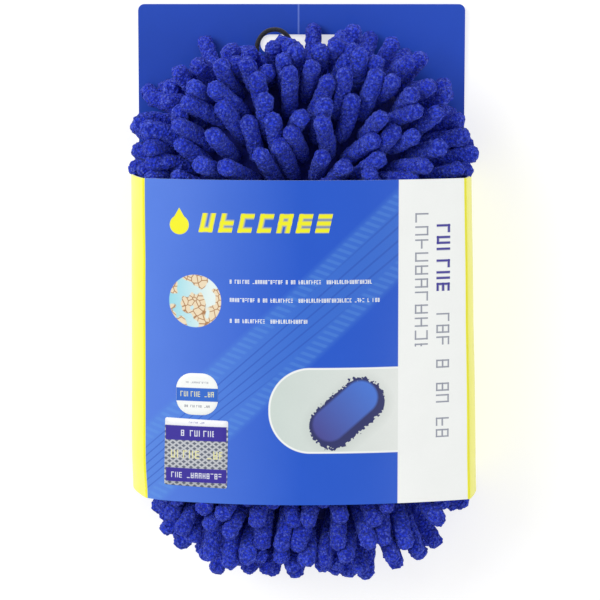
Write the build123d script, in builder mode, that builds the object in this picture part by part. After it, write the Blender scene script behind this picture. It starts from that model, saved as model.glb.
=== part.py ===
from build123d import *
import os
from math import pi, radians, tan

# Chenille wash mitt in its folded card sleeve, lying on the sleeve's back.
# Millimetres. +Z is up, out of the chenille face; +Y runs along the mitt towards the header
# card with the hanging slot; the origin is under the middle of the whole, where it lies.

os.makedirs("parts", exist_ok=True)

# ---------------------------------------------------------------- driving sizes

# mitt
mitt_length = 211.2  # noodle tips to noodle tips
pile_width = 128.4  # noodles lying against the sleeve's sides
pile_top_round = 48.0  # corner radii of the pile, seen from above
pile_low_round = 32.0
pile_edge_round = 26.0  # rounding of the pile's ends, seen from the side
pile_low = 4.0  # lowest noodle tips above the table
foam_length = 166.0
foam_width = 86.0
foam_height = 36.0
foam_corner = 22.0  # seen from above
foam_low_round = 4.5
foam_high_round = 12.0
back_cloth_thick = 1.3
ground_cloth_thick = 1.2
cloth_ease = 0.1  # room between the foam and its cover
seam_height = 7.8  # seam line above the mitt's back
binding_width = 5.0  # how far the bound seam stands out from the cover
binding_thick = 2.4
binding_round = 0.8
stitch_length = 3.2
stitch_width = 0.7
stitch_rise = 0.35
stitch_pitch = 6.0
stitch_inset = 1.7  # stitch line from the cover's face
pile_ease = 0.6  # room between the pile and the bound seam

# hanging loop
cord_d = 1.8
tack_length = 4.6
tack_width = 1.4
tack_rise = 0.5
tack_inset = 3.6  # tacks from the cover's face
notch_side = 2.2  # room beside the loop under the pile
notch_high = 1.2  # room above it

# card sleeve
card_thick = 0.45
glue_thick = 0.1
sleeve_height = 122.0  # front panel, along the mitt
sleeve_from_end = 33.6  # from the mitt's lower end to the sleeve's lower edge
header_rise = 64.0  # header above the sleeve's upper edge
header_corner = 2.5
back_width = 127.6  # between the two back folds
side_bulge = 65.0  # furthest out that each side panel bows
side_bulge_height = 26.0
fold_left = 59.3  # front folds, from the middle
fold_right = 61.6
fold_height = 50.0
crown_height = 62.0
lap_under_edge = 24.0  # edge of the under lap, right of the middle
lap_over_edge = -1.3  # edge of the over lap
glue_margin = 2.0
slot_width = 32.0
slot_height = 7.4
slot_below_top = 11.8  # slot's upper edge under the header's top
rest_gap = 0.3  # mitt above the card
sleeve_gap = 0.35  # pile inside the sleeve

# stickers on the front panel
label_thick = 0.12
round_label_size = 15.8
round_label_corner = 6.0
round_label_at = (-39.2, -34.9)
foil_label_size = (23.9, 25.7)
foil_label_corner = 0.8
foil_label_at = (-39.7, -57.3)

# ---------------------------------------------------------------- worked-out sizes

total_length = sleeve_from_end + sleeve_height + header_rise
mitt_low_y = -total_length / 2
mitt_y = mitt_low_y + mitt_length / 2
sleeve_low_y = mitt_low_y + sleeve_from_end
sleeve_top_y = sleeve_low_y + sleeve_height
header_top_y = sleeve_top_y + header_rise

over_lap_low = card_thick + glue_thick
over_lap_high = over_lap_low + card_thick
mitt_rest = over_lap_high + rest_gap
foam_low = mitt_rest + back_cloth_thick + cloth_ease
foam_high = foam_low + foam_height
seam_z = mitt_rest + seam_height
cover_high = foam_high + cloth_ease + ground_cloth_thick
cover_grow = cloth_ease + ground_cloth_thick
back_grow = cloth_ease + back_cloth_thick
binding_high = seam_z + binding_thick / 2
binding_low = seam_z - binding_thick / 2
binding_grow = cover_grow + binding_width
binding_top_y = mitt_y + foam_length / 2 + binding_grow

sleeve_end = Plane(origin=(0, sleeve_top_y, 0), x_dir=(1, 0, 0), z_dir=(0, -1, 0))
mitt_end = Plane(origin=(0, mitt_y + mitt_length / 2, 0), x_dir=(1, 0, 0), z_dir=(0, -1, 0))
mitt_side = Plane(origin=(-pile_width / 2, 0, 0), x_dir=(0, 1, 0), z_dir=(1, 0, 0))


def level(height):
    """Horizontal plane at a height, centred on the mitt."""
    return Plane.XY.offset(height).move(Location((0, mitt_y, 0)))


def core_outline(grow, mode=Mode.ADD):
    """Outline of the foam core, grown all round, in the current sketch."""
    RectangleRounded(foam_width + 2 * grow, foam_length + 2 * grow, foam_corner + grow, mode=mode)


def front_crown(rise):
    """Arc across the front panel, from fold to fold, raised by a thickness."""
    return (
        (-fold_left, fold_height + rise),
        (0, crown_height + rise),
        (fold_right, fold_height + rise),
    )


# outer outline of the sleeve: flat back, bowed sides and crowned front
with BuildLine() as sleeve_lines:
    back_left = (-back_width / 2, 0)
    back_right = (back_width / 2, 0)
    ThreePointArc(back_left, (-side_bulge, side_bulge_height), front_crown(0)[0])
    ThreePointArc(*front_crown(0))
    ThreePointArc(front_crown(0)[-1], (side_bulge, side_bulge_height), back_right)
    Line(back_right, back_left)
with BuildSketch() as sleeve_outline:
    add(sleeve_lines.line)
    make_face()

# ---------------------------------------------------------------- foam core

with BuildPart() as foam_core:
    with BuildSketch(level(foam_low)):
        core_outline(0)
    extrude(amount=foam_height)
    fillet(foam_core.edges().group_by(Axis.Z)[0], foam_low_round)
    fillet(foam_core.edges().group_by(Axis.Z)[-1], foam_high_round)
foam_core.part.label = "foam_core"
export_step(foam_core.part, "parts/foam_core.step")

# the room for the foam inside its cover
with BuildPart() as foam_room:
    with BuildSketch(level(foam_low - cloth_ease)):
        core_outline(cloth_ease)
    extrude(amount=foam_height + 2 * cloth_ease)
    fillet(foam_room.edges().group_by(Axis.Z)[0], foam_low_round + cloth_ease)
    fillet(foam_room.edges().group_by(Axis.Z)[-1], foam_high_round + cloth_ease)

# ---------------------------------------------------------------- microfibre back cloth

# a shallow dish: flat under the foam and turned up to the seam
with BuildPart() as microfibre_back:
    with BuildSketch(level(mitt_rest)):
        core_outline(back_grow)
    extrude(amount=seam_height)
    fillet(microfibre_back.edges().group_by(Axis.Z)[0], foam_low_round + back_grow)
    add(foam_room.part, mode=Mode.SUBTRACT)
microfibre_back.part.label = "microfibre_back"
export_step(microfibre_back.part, "parts/microfibre_back.step")

# ---------------------------------------------------------------- chenille ground cloth

# a cap over the foam's face and sides, which carries the noodles
with BuildPart() as chenille_ground_cloth:
    with BuildSketch(level(seam_z)):
        core_outline(cover_grow)
    extrude(amount=cover_high - seam_z)
    fillet(chenille_ground_cloth.edges().group_by(Axis.Z)[-1], foam_high_round + cover_grow)
    add(foam_room.part, mode=Mode.SUBTRACT)
chenille_ground_cloth.part.label = "chenille_ground_cloth"
export_step(chenille_ground_cloth.part, "parts/chenille_ground_cloth.step")

# ---------------------------------------------------------------- seam binding

# folded tape that wraps the seam allowance all round the mitt
with BuildPart() as seam_binding:
    with BuildSketch(level(binding_low)):
        core_outline(binding_grow)
        core_outline(max(cover_grow, back_grow), Mode.SUBTRACT)
    extrude(amount=binding_thick)
    outer_edges = seam_binding.faces().sort_by(Axis.Z)[0].outer_wire().edges()
    upper_edges = seam_binding.faces().sort_by(Axis.Z)[-1].outer_wire().edges()
    fillet(outer_edges + upper_edges, binding_round)
seam_binding.part.label = "seam_binding"
export_step(seam_binding.part, "parts/seam_binding.step")

# ---------------------------------------------------------------- seam stitches

stitch_grow = cover_grow + stitch_inset
with BuildSketch(level(binding_high + stitch_rise / 2)) as stitch_line:
    core_outline(stitch_grow)
stitch_wire = stitch_line.sketch.wires()[0]
stitch_count = int(stitch_wire.length / stitch_pitch)

with BuildPart() as seam_stitches:
    for number in range(stitch_count):
        spot = stitch_wire.position_at(number / stitch_count)
        along = stitch_wire.tangent_at(number / stitch_count)
        with BuildSketch(Plane(origin=spot, x_dir=along, z_dir=(0, 0, 1))):
            SlotOverall(stitch_length, stitch_width)
        extrude(amount=stitch_rise / 2, both=True)
seam_stitches.part.label = "seam_stitches"
export_step(seam_stitches.part, "parts/seam_stitches.step")

# ---------------------------------------------------------------- hanging loop

# route of the thin cord: out of the binding's end, round an arch and back into it
route = [
    (-16.4, 0.0, 0.0),
    (-17.35, 5.4, 0.1),
    (-17.1, 10.8, 0.5),
    (-13.4, 14.9, 1.0),
    (-7.9, 15.2, 1.2),
    (-4.0, 11.0, 0.7),
    (-3.7, 5.6, 0.2),
    (-4.7, 0.0, 0.0),
]
loop_points = [Vector(x, binding_top_y + y, seam_z + z) for x, y, z in route]
loop_radii = []
for before, corner, after in zip(loop_points, loop_points[1:], loop_points[2:]):
    turn = (corner - before).get_angle(after - corner)
    run = min((corner - before).length, (after - corner).length)
    loop_radii.append(0.45 * run / tan(radians(turn) / 2))
print("hanging loop radii", [round(radius, 1) for radius in loop_radii])

with BuildPart() as hang_loop:
    with BuildLine() as loop_path:
        FilletPolyline(*loop_points, radius=loop_radii)
    with BuildSketch(Plane(origin=loop_points[0], z_dir=loop_path.line @ 0.01 - loop_path.line @ 0)):
        Circle(cord_d / 2)
    sweep()
    # trimmed where it meets the binding's end
    with BuildSketch(Plane.XZ.offset(-binding_top_y)):
        with Locations((loop_points[0].X / 2 + loop_points[-1].X / 2, seam_z)):
            Rectangle(40 * cord_d, 20 * cord_d)
    extrude(amount=cord_d, mode=Mode.SUBTRACT)
hang_loop.part.label = "hang_loop"
export_step(hang_loop.part, "parts/hang_loop.step")
loop_length = loop_path.wire().length
loop_volume = pi * cord_d**2 / 4 * loop_length
print("hanging loop length", round(loop_length, 2))
print("hanging loop volume", round(hang_loop.part.volume, 2), "of", round(loop_volume, 2))

# dense bar tacks across the binding, one where each end of the cord goes in
tack_y = mitt_y + foam_length / 2 + cover_grow + tack_inset
with BuildPart() as loop_bar_tacks:
    with BuildSketch(Plane.XY.offset(binding_high)):
        with Locations((loop_points[0].X, tack_y), (loop_points[-1].X, tack_y)):
            RectangleRounded(tack_length, tack_width, tack_width / 3)
    extrude(amount=tack_rise)
loop_bar_tacks.part.label = "loop_bar_tacks"
export_step(loop_bar_tacks.part, "parts/loop_bar_tacks.step")

# ---------------------------------------------------------------- chenille pile

pile_height = crown_height - pile_low
pile_rounding = min(pile_edge_round, 0.48 * pile_height)  # the ends' rounding stays within the height

# outer shape of all the noodles together: it fills the sleeve and is rounded at both ends
with BuildPart() as chenille_pile:
    with BuildSketch(mitt_end):
        add(sleeve_outline.sketch)
        offset(amount=-(card_thick + sleeve_gap), kind=Kind.INTERSECTION, mode=Mode.REPLACE)
    extrude(amount=mitt_length)
    with BuildSketch(level(0)) as pile_outline:
        Rectangle(pile_width, mitt_length)
        fillet(pile_outline.vertices().group_by(Axis.Y)[-1], pile_top_round)
        fillet(pile_outline.vertices().group_by(Axis.Y)[0], pile_low_round)
    extrude(amount=crown_height, mode=Mode.INTERSECT)
    with BuildSketch(mitt_side):
        with Locations((mitt_y, (pile_low + crown_height) / 2)):
            RectangleRounded(mitt_length, pile_height, pile_rounding)
    extrude(amount=pile_width, mode=Mode.INTERSECT)
    # room for the covered foam
    with BuildSketch(level(0)):
        core_outline(cover_grow + cloth_ease)
    extrude(amount=cover_high + cloth_ease, mode=Mode.SUBTRACT)
    # room for the bound seam
    with BuildSketch(level(0)):
        core_outline(binding_grow + pile_ease)
    extrude(amount=binding_high + tack_rise + pile_ease, mode=Mode.SUBTRACT)
    # room for the hanging loop
    loop_low_x = min(point.X for point in loop_points) - cord_d / 2 - notch_side
    loop_high_x = max(point.X for point in loop_points) + cord_d / 2 + notch_side
    loop_high_z = max(point.Z for point in loop_points) + cord_d / 2 + notch_high
    with BuildSketch(Plane.XY):
        with Locations(((loop_low_x + loop_high_x) / 2, binding_top_y)):
            Rectangle(loop_high_x - loop_low_x, mitt_length / 4)
    extrude(amount=loop_high_z, mode=Mode.SUBTRACT)
chenille_pile.part.label = "chenille_pile"
export_step(chenille_pile.part, "parts/chenille_pile.step")

# ---------------------------------------------------------------- card sleeve

slot_y = header_top_y - slot_below_top - slot_height / 2
header_overlap = header_corner  # each header half starts this far inside the back panels
header_middle_y = (sleeve_top_y - header_overlap + header_top_y) / 2

# one folded blank: the back closes with the right panel lapped over the left one
with BuildPart() as card_sleeve:
    with BuildSketch(sleeve_end):
        add(sleeve_outline.sketch)
        offset(amount=-card_thick, kind=Kind.INTERSECTION, mode=Mode.SUBTRACT)
        with Locations((side_bulge + lap_under_edge, over_lap_low / 2)):
            Rectangle(2 * side_bulge, over_lap_low, mode=Mode.SUBTRACT)
        with Locations(((lap_over_edge + back_width / 2) / 2, over_lap_low + card_thick / 2)):
            Rectangle(back_width / 2 - lap_over_edge, card_thick)
    extrude(amount=sleeve_height)
    # left half of the header, under the lap
    with BuildSketch(Plane.XY) as under_header:
        with Locations(((lap_under_edge - back_width / 2) / 2, header_middle_y)):
            Rectangle(lap_under_edge + back_width / 2, header_rise + header_overlap)
        fillet(under_header.vertices().group_by(Axis.Y)[-1].sort_by(Axis.X)[0], header_corner)
    extrude(amount=card_thick)
    # right half of the header, over the lap
    with BuildSketch(Plane.XY.offset(over_lap_low)) as over_header:
        with Locations(((lap_over_edge + back_width / 2) / 2, header_middle_y)):
            Rectangle(back_width / 2 - lap_over_edge, header_rise + header_overlap)
        fillet(over_header.vertices().group_by(Axis.Y)[-1].sort_by(Axis.X)[-1], header_corner)
    extrude(amount=card_thick)
    # hanging slot through both halves
    with BuildSketch(Plane.XY):
        with Locations((0, slot_y)):
            SlotOverall(slot_width, slot_height)
    extrude(amount=over_lap_high, mode=Mode.SUBTRACT)
card_sleeve.part.label = "card_sleeve"
export_step(card_sleeve.part, "parts/card_sleeve.step")

# ---------------------------------------------------------------- glue strip

# adhesive between the two back panels, stopped below the hanging slot
glue_low_y = sleeve_low_y + glue_margin
glue_top_y = slot_y - slot_height / 2 - glue_margin
glue_left = lap_over_edge + glue_margin
glue_right = lap_under_edge - glue_margin
with BuildPart() as glue_strip:
    with BuildSketch(Plane.XY.offset(card_thick)):
        with Locations(((glue_left + glue_right) / 2, (glue_low_y + glue_top_y) / 2)):
            Rectangle(glue_right - glue_left, glue_top_y - glue_low_y)
    extrude(amount=glue_thick)
glue_strip.part.label = "glue_strip"
export_step(glue_strip.part, "parts/glue_strip.step")

# ---------------------------------------------------------------- stickers


# crowned skin on the sleeve's front panel, from fold to fold
with BuildSketch() as front_skin:
    with BuildLine():
        ThreePointArc(*front_crown(0))
        Line(front_crown(0)[-1], front_crown(label_thick)[-1])
        ThreePointArc(*front_crown(label_thick))
        Line(front_crown(label_thick)[0], front_crown(0)[0])
    make_face()

# rounded square sticker
with BuildPart() as round_label:
    with BuildSketch(sleeve_end):
        add(front_skin.sketch)
    extrude(amount=sleeve_height)
    with BuildSketch(Plane.XY):
        with Locations(round_label_at):
            RectangleRounded(round_label_size, round_label_size, round_label_corner)
    extrude(amount=2 * crown_height, mode=Mode.INTERSECT)
round_label.part.label = "round_label"
export_step(round_label.part, "parts/round_label.step")

# foil security sticker
with BuildPart() as foil_label:
    with BuildSketch(sleeve_end):
        add(front_skin.sketch)
    extrude(amount=sleeve_height)
    with BuildSketch(Plane.XY):
        with Locations(foil_label_at):
            RectangleRounded(*foil_label_size, foil_label_corner)
    extrude(amount=2 * crown_height, mode=Mode.INTERSECT)
foil_label.part.label = "foil_label"
export_step(foil_label.part, "parts/foil_label.step")
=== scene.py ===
# %% [markdown]
# # A chenille wash mitt in its card sleeve
#
# A foam block is covered with cloth. The cloth on its face carries nearly four hundred soft
# noodles, a tape binds the seam, and a folded card sleeve holds it all flat. The boxes of the
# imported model's pieces give most places, so each piece is made where that model says it lies.

# %% Frame
import math

import bmesh
import bpy
import numpy as np
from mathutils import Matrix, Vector
from mathutils.bvhtree import BVHTree


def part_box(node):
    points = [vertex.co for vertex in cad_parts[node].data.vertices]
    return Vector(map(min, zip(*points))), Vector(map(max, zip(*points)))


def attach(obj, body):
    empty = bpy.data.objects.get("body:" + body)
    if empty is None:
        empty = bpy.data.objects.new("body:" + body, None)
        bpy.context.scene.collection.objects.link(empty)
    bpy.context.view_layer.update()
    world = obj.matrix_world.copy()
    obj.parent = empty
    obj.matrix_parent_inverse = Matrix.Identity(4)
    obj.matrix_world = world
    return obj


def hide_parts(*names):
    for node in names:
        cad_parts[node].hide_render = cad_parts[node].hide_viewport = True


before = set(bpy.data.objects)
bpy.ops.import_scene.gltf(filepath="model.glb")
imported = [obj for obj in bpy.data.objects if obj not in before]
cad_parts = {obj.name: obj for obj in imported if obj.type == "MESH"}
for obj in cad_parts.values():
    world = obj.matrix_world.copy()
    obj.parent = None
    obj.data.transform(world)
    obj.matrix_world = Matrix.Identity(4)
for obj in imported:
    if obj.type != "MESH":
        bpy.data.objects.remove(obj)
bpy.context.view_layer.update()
MM = 0.001

# %% [markdown]
# ## Camera, floor and light
#
# The pack lies on a pale table and is seen from above, a little from its header side, through
# a long lens, which keeps the card's sides almost parallel. A wide soft light on the left
# puts a sheen on the glossy card's left half, and a painted highlight in the ink makes that half
# paler still. A sun lamp could do it too, but would draw hard shadows between the noodles.

# %% Camera
look_at = Vector((-0.0006, -0.0026, 0.030))
camera_distance = 1.05
camera_tilt = math.radians(7)
frame_width = 0.230

camera_data = bpy.data.cameras.new("camera")
camera_data.sensor_width = 36
camera_data.lens = camera_data.sensor_width * camera_distance / frame_width
camera = bpy.data.objects.new("camera", camera_data)
bpy.context.collection.objects.link(camera)
away = Vector((0, math.sin(camera_tilt), math.cos(camera_tilt)))
camera.location = look_at + camera_distance * away
camera.rotation_euler = (-camera_tilt, 0, 0)
bpy.context.scene.camera = camera
print("lens", round(camera_data.lens), "mm")

# %% Light
bpy.context.scene.view_settings.view_transform = "Standard"


def softbox(name, place, size, power):
    """A square area light that faces the middle of the mitt."""
    data = bpy.data.lights.new(name, "AREA")
    data.size = size
    data.energy = power
    lamp = bpy.data.objects.new(name, data)
    bpy.context.collection.objects.link(lamp)
    lamp.location = place
    lamp.rotation_euler = (look_at - Vector(place)).to_track_quat("-Z", "Y").to_euler()
    return lamp


softbox("key", (-1.1, 0.7, 1.3), 1.0, 17)
softbox("fill", (1.2, -0.5, 1.2), 1.2, 6)

world = bpy.data.worlds.new("studio")
bpy.context.scene.world = world
world.use_nodes = True
world.node_tree.nodes["Background"].inputs["Color"].default_value = (1, 1, 1, 1)
world.node_tree.nodes["Background"].inputs["Strength"].default_value = 0.55

# %% [markdown]
# ## Small helpers
#
# A material here is a Principled shader with patterns fed into it. `Nodes` keeps the wiring
# short: each call makes one node and returns its output, so a pattern reads like a sum.

# %% Node helpers


class Nodes:
    """Makes and links nodes in one tree. Values may be numbers, tuples or outputs of nodes."""

    def __init__(self, tree):
        self.tree = tree

    def make(self, kind, values=None, out=0, **settings):
        """One node: its settings, its inputs by name or number, and the output that is used."""
        node = self.tree.nodes.new(kind)
        for name, value in settings.items():
            setattr(node, name, value)
        for key, value in (values or {}).items():
            if isinstance(value, bpy.types.NodeSocket):
                self.tree.links.new(value, node.inputs[key])
            else:
                node.inputs[key].default_value = value
        return node.outputs[out]

    def math(self, operation, *values):
        """A Math node."""
        return self.make("ShaderNodeMath", dict(enumerate(values)), operation=operation)

    def weighted(self, first, first_times, second, second_times):
        """Two values added, each times a number of its own."""
        first = self.math("MULTIPLY", first, first_times)
        return self.math("ADD", first, self.math("MULTIPLY", second, second_times))

    def mix(self, share, under, over):
        """A colour between two others."""
        values = {"Factor": share, 6: under, 7: over}
        return self.make("ShaderNodeMix", values, out=2, data_type="RGBA")

    def ramp(self, value, low, high, to_low=0.0, to_high=1.0):
        """A value stretched from one range to another, and clamped."""
        values = {0: value, 1: low, 2: high, 3: to_low, 4: to_high}
        return self.make("ShaderNodeMapRange", values)

    def group(self, tree, values, out=0):
        """A node group placed in this tree."""
        return self.make("ShaderNodeGroup", values, out, node_tree=tree)


def new_material(name, **finish):
    """An empty Principled material with its uniform values set on the shader's own sockets."""
    made = bpy.data.materials.new(name)
    made.use_nodes = True
    shader = made.node_tree.nodes["Principled BSDF"]
    for key, value in finish.items():
        shader.inputs[key.replace("_", " ")].default_value = value
    return made, Nodes(made.node_tree), shader


def feed(made, shader, **outputs):
    """Links outputs of nodes to the shader's inputs."""
    for key, output in outputs.items():
        made.node_tree.links.new(output, shader.inputs[key.replace("_", " ")])


def new_group(name, inputs, outputs):
    """An empty shader group with named sockets: (kind, name, start value)."""
    tree = bpy.data.node_groups.new(name, "ShaderNodeTree")
    for kind, label, start in inputs:
        socket = tree.interface.new_socket(label, in_out="INPUT", socket_type=f"NodeSocket{kind}")
        socket.default_value = start
    for kind, label in outputs:
        tree.interface.new_socket(label, in_out="OUTPUT", socket_type=f"NodeSocket{kind}")
    given = tree.nodes.new("NodeGroupInput").outputs
    result = tree.nodes.new("NodeGroupOutput").inputs
    return tree, Nodes(tree), given, result


def new_object(name, mesh, *materials):
    """A mesh object with its materials, in the scene."""
    made = bpy.data.objects.new(name, mesh)
    for material in materials:
        mesh.materials.append(material)
    bpy.context.collection.objects.link(made)
    return made


def mesh_from(name, points, faces, smooth=True):
    """A mesh from points and faces."""
    mesh = bpy.data.meshes.new(name)
    mesh.from_pydata([tuple(p) for p in points], [], [tuple(f) for f in faces])
    if smooth:
        mesh.shade_smooth()
    return mesh


def plain_copy(made, name):
    """The evaluated object as a plain mesh object, with the first one removed."""
    seen = made.evaluated_get(bpy.context.evaluated_depsgraph_get())
    mesh = bpy.data.meshes.new_from_object(seen)
    mesh.name = name
    bpy.data.objects.remove(made)
    done = bpy.data.objects.new(name, mesh)
    bpy.context.collection.objects.link(done)
    return done


# %% Floor
floor_material, nodes, shader = new_material("pale_table", Base_Color=(0.5, 0.5, 0.5, 1), Roughness=0.6)
shader.inputs["Emission Color"].default_value = (1, 1, 1, 1)
shader.inputs["Emission Strength"].default_value = 0.62
FLOOR_HALF, FLOOR_Z = 3, -0.0003
floor_points = [(x * FLOOR_HALF, y * FLOOR_HALF, FLOOR_Z) for x, y in ((-1, -1), (1, -1), (1, 1), (-1, 1))]
floor = new_object("floor", mesh_from("floor", floor_points, [(0, 1, 2, 3)]), floor_material)

# %% [markdown]
# ## Hanging loop
#
# A thin black cord comes out of the seam at the header end, goes round an arch and back into
# the seam. Its points are the control points of one smooth NURBS curve with a round bevel.
# The braid is a pattern in its material, because single threads would be too fine to model.

# %% Hanging loop: route
CORD_D = 1.8 * MM
binding_low, binding_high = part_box("seam_binding")
exit_y = binding_high.y
seam_z = (binding_low.z + binding_high.z) / 2
loop_route = [
    (-16.4, 0.0, 0.0),
    (-17.35, 5.4, 0.1),
    (-17.1, 10.8, 0.5),
    (-13.4, 14.9, 1.0),
    (-7.9, 15.2, 1.2),
    (-4.0, 11.0, 0.7),
    (-3.7, 5.6, 0.2),
    (-4.7, 0.0, 0.0),
]
loop_points = [Vector((x * MM, exit_y + y * MM, seam_z + z * MM)) for x, y, z in loop_route]


def nurbs_curve(name, points, radius):
    """A round cord along one smooth NURBS curve."""
    data = bpy.data.curves.new(name, "CURVE")
    data.dimensions = "3D"
    data.bevel_depth = radius
    data.bevel_resolution = 6
    data.resolution_u = 16
    data.use_fill_caps = True
    spline = data.splines.new("NURBS")
    spline.points.add(len(points) - 1)
    for place, point in zip(spline.points, points):
        place.co = (*point, 1)
    spline.order_u = 3
    spline.use_endpoint_u = True
    made = bpy.data.objects.new(name, data)
    bpy.context.collection.objects.link(made)
    return made


loop = nurbs_curve("hanging_cord", loop_points, CORD_D / 2)

# %% Hanging loop: braid
braid, nodes, shader = new_material("black_braid", Roughness=0.75, Sheen_Weight=0.25)
place = nodes.make("ShaderNodeTexCoord", out="Object")
strands = nodes.make("ShaderNodeTexVoronoi", {"Vector": place, "Scale": 1500}, out="Distance")
colour = nodes.mix(nodes.ramp(strands, 0.1, 0.7), (0.022, 0.022, 0.026, 1), (0.004, 0.004, 0.006, 1))
bump = nodes.make("ShaderNodeBump", {"Height": strands, "Strength": 0.6, "Distance": 0.0004}, invert=True)
feed(braid, shader, Base_Color=colour, Normal=bump)
loop.data.materials.append(braid)
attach(loop, "mitt")
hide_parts("hang_loop")

# %% [markdown]
# ## Card sleeve
#
# The sleeve is one printed blank, creased at four folds and glued where the two back panels
# lap. It could be a plain box, but real card bows: the sides belly out over the noodles and
# the front crowns between its folds. So the cross-section is drawn with arcs, the grid that
# follows it is thickened with Solidify, and the hanging slot is cut through both plies.

# %% Sleeve: section
CARD = 0.45 * MM
card_low, card_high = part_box("card_sleeve")
BACK_HALF = 63.8 * MM
FOLD_LEFT, FOLD_RIGHT, FOLD_Z = -59.3 * MM, 61.6 * MM, 50.0 * MM
SIDE_X, SIDE_Z = 65.0 * MM, 26.0 * MM
SLEEVE_HEIGHT, HEADER_RISE = 122.0 * MM, 64.0 * MM
UNDER_EDGE, OVER_EDGE = 24.0 * MM, -1.3 * MM
HEADER_CORNER = 2.5 * MM
sleeve_low, sleeve_top, header_top = card_low.y, card_low.y + SLEEVE_HEIGHT, card_high.y
under_z, over_z = CARD / 2, 0.55 * MM + CARD / 2


def arc_through(a, b, c, steps):
    """Points on the circle through three points, from the first to the last."""
    ax, ay, bx, by, cx, cy = *a, *b, *c
    d = 2 * (ax * (by - cy) + bx * (cy - ay) + cx * (ay - by))
    ux = ((ax**2 + ay**2) * (by - cy) + (bx**2 + by**2) * (cy - ay) + (cx**2 + cy**2) * (ay - by)) / d
    uy = ((ax**2 + ay**2) * (cx - bx) + (bx**2 + by**2) * (ax - cx) + (cx**2 + cy**2) * (bx - ax)) / d
    radius = math.hypot(ax - ux, ay - uy)
    start, middle, end = (math.atan2(y - uy, x - ux) for x, y in (a, b, c))
    turn = (end - start + math.pi) % (2 * math.pi) - math.pi
    angles = np.linspace(start, start + turn, steps + 1)
    return [(ux + radius * math.cos(v), uy + radius * math.sin(v)) for v in angles]


def panel(start, end, steps):
    """Points on a flat panel."""
    return [tuple(np.array(start) + (np.array(end) - start) * i / steps) for i in range(steps + 1)]


# the line midway through the card, from the under lap's edge round to the over lap's edge
half = CARD / 2
crown_z = card_high.z - half
left_fold = (FOLD_LEFT + half, FOLD_Z - half)
right_fold = (FOLD_RIGHT - half, FOLD_Z - half)
panels = {
    "back_under": panel((UNDER_EDGE, under_z), (-BACK_HALF + half, under_z), 36),
    "left": arc_through((-BACK_HALF + half, under_z), (-SIDE_X + half, SIDE_Z), left_fold, 22),
    "front": arc_through(left_fold, (0.0, crown_z), right_fold, 54),
    "right": arc_through(right_fold, (SIDE_X - half, SIDE_Z), (BACK_HALF - half, over_z), 22),
    "back_over": panel((BACK_HALF - half, over_z), (OVER_EDGE, over_z), 27),
}
section, panel_of = [], []
for name, points in panels.items():
    for point in points[1 if section else 0 :]:
        section.append(point)
        panel_of.append(name)
print("sleeve section", len(section), "points, crown at", round(crown_z / MM, 1))

# %% Sleeve: small dents
# Thin card over soft noodles is never quite even: it waves a little, one lower corner is
# pressed in, and the header's free end lifts off the table.


def wave(x, y, size, seed):
    """A smooth uneven value from -1 to 1."""
    a = math.sin(x / size + seed) * math.cos(y / (1.3 * size) + 2.1 * seed)
    b = math.sin((x + y) / (0.61 * size) + 3.7 * seed)
    return 0.65 * a + 0.35 * b


WAVE_HEIGHT, WAVE_SIZE = 0.45 * MM, 21 * MM
PRESSED_X, PRESSED_IN, PRESSED_DOWN = -61 * MM, 0.8 * MM, 2.2 * MM
FLARE_RIGHT, FLARE_LEFT = 2.9 * MM, -0.9 * MM
HEADER_LIFT = 1.1 * MM


def bend_card(x, y, z):
    """Where a point of the even sleeve lies on the real, slightly dented one."""
    if z > 2 * MM:
        share = min(1.0, (z - 2 * MM) / (30 * MM))
        out = WAVE_HEIGHT * share * wave(x, y, WAVE_SIZE, 0.7)
        z += out
        x += math.copysign(0.5 * out, x)
        corner = math.exp(-(((x - PRESSED_X) / (6 * MM)) ** 2) - ((y - sleeve_low) / (10 * MM)) ** 2)
        x += PRESSED_IN * corner * share
        z -= PRESSED_DOWN * corner * share
        flare = share * (sleeve_top - y) / SLEEVE_HEIGHT
        x += flare * (FLARE_RIGHT if x > 0 else FLARE_LEFT) * (x / SIDE_X) ** 4
    elif y > sleeve_top:
        lift = (y - sleeve_top) / HEADER_RISE
        z += HEADER_LIFT * lift**2 * (1 + 0.5 * math.sin(x / (30 * MM)))
    return x, y, z


# %% Sleeve: blank
rows = list(np.linspace(sleeve_low, sleeve_top, 57))
header_rows = list(np.linspace(sleeve_top, header_top - HEADER_CORNER, 28))[1:]
corner_turns = [math.radians(v) for v in (20, 40, 60, 75, 90)]
header_rows += [header_top - HEADER_CORNER * (1 - math.sin(v)) for v in corner_turns]


def corner_inset(y):
    """How far the header's rounded corner steps in at a height."""
    rise = max(0.0, y - (header_top - HEADER_CORNER))
    return HEADER_CORNER - math.sqrt(max(0.0, HEADER_CORNER**2 - rise**2))


blank = bmesh.new()
unrolled = blank.verts.layers.float.new("unrolled")
lengths = np.concatenate([[0], np.cumsum([math.dist(a, b) for a, b in zip(section, section[1:])])])
fold_at = {name: lengths[panel_of.index(name) - 1] for name in ("left", "front", "right", "back_over")}
front_middle = (fold_at["front"] + fold_at["right"]) / 2
grid = {}
for column, (x, z) in enumerate(section):
    back = panel_of[column].startswith("back") or z < 1 * MM
    for row, y in enumerate(rows + (header_rows if back else [])):
        inset = corner_inset(y) * (abs(x) / BACK_HALF) ** 6
        grid[column, row] = blank.verts.new(bend_card(x - math.copysign(inset, x), y, z))
        grid[column, row][unrolled] = lengths[column] - front_middle
for column, row in grid:
    corners = [(column, row), (column + 1, row), (column + 1, row + 1), (column, row + 1)]
    if all(corner in grid for corner in corners):
        blank.faces.new([grid[corner] for corner in corners])
blank_mesh = bpy.data.meshes.new("card_blank")
blank.to_mesh(blank_mesh)
blank.free()
print("blank", len(blank_mesh.polygons), "faces,", round(lengths[-1] / MM), "mm wide unfolded")

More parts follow.
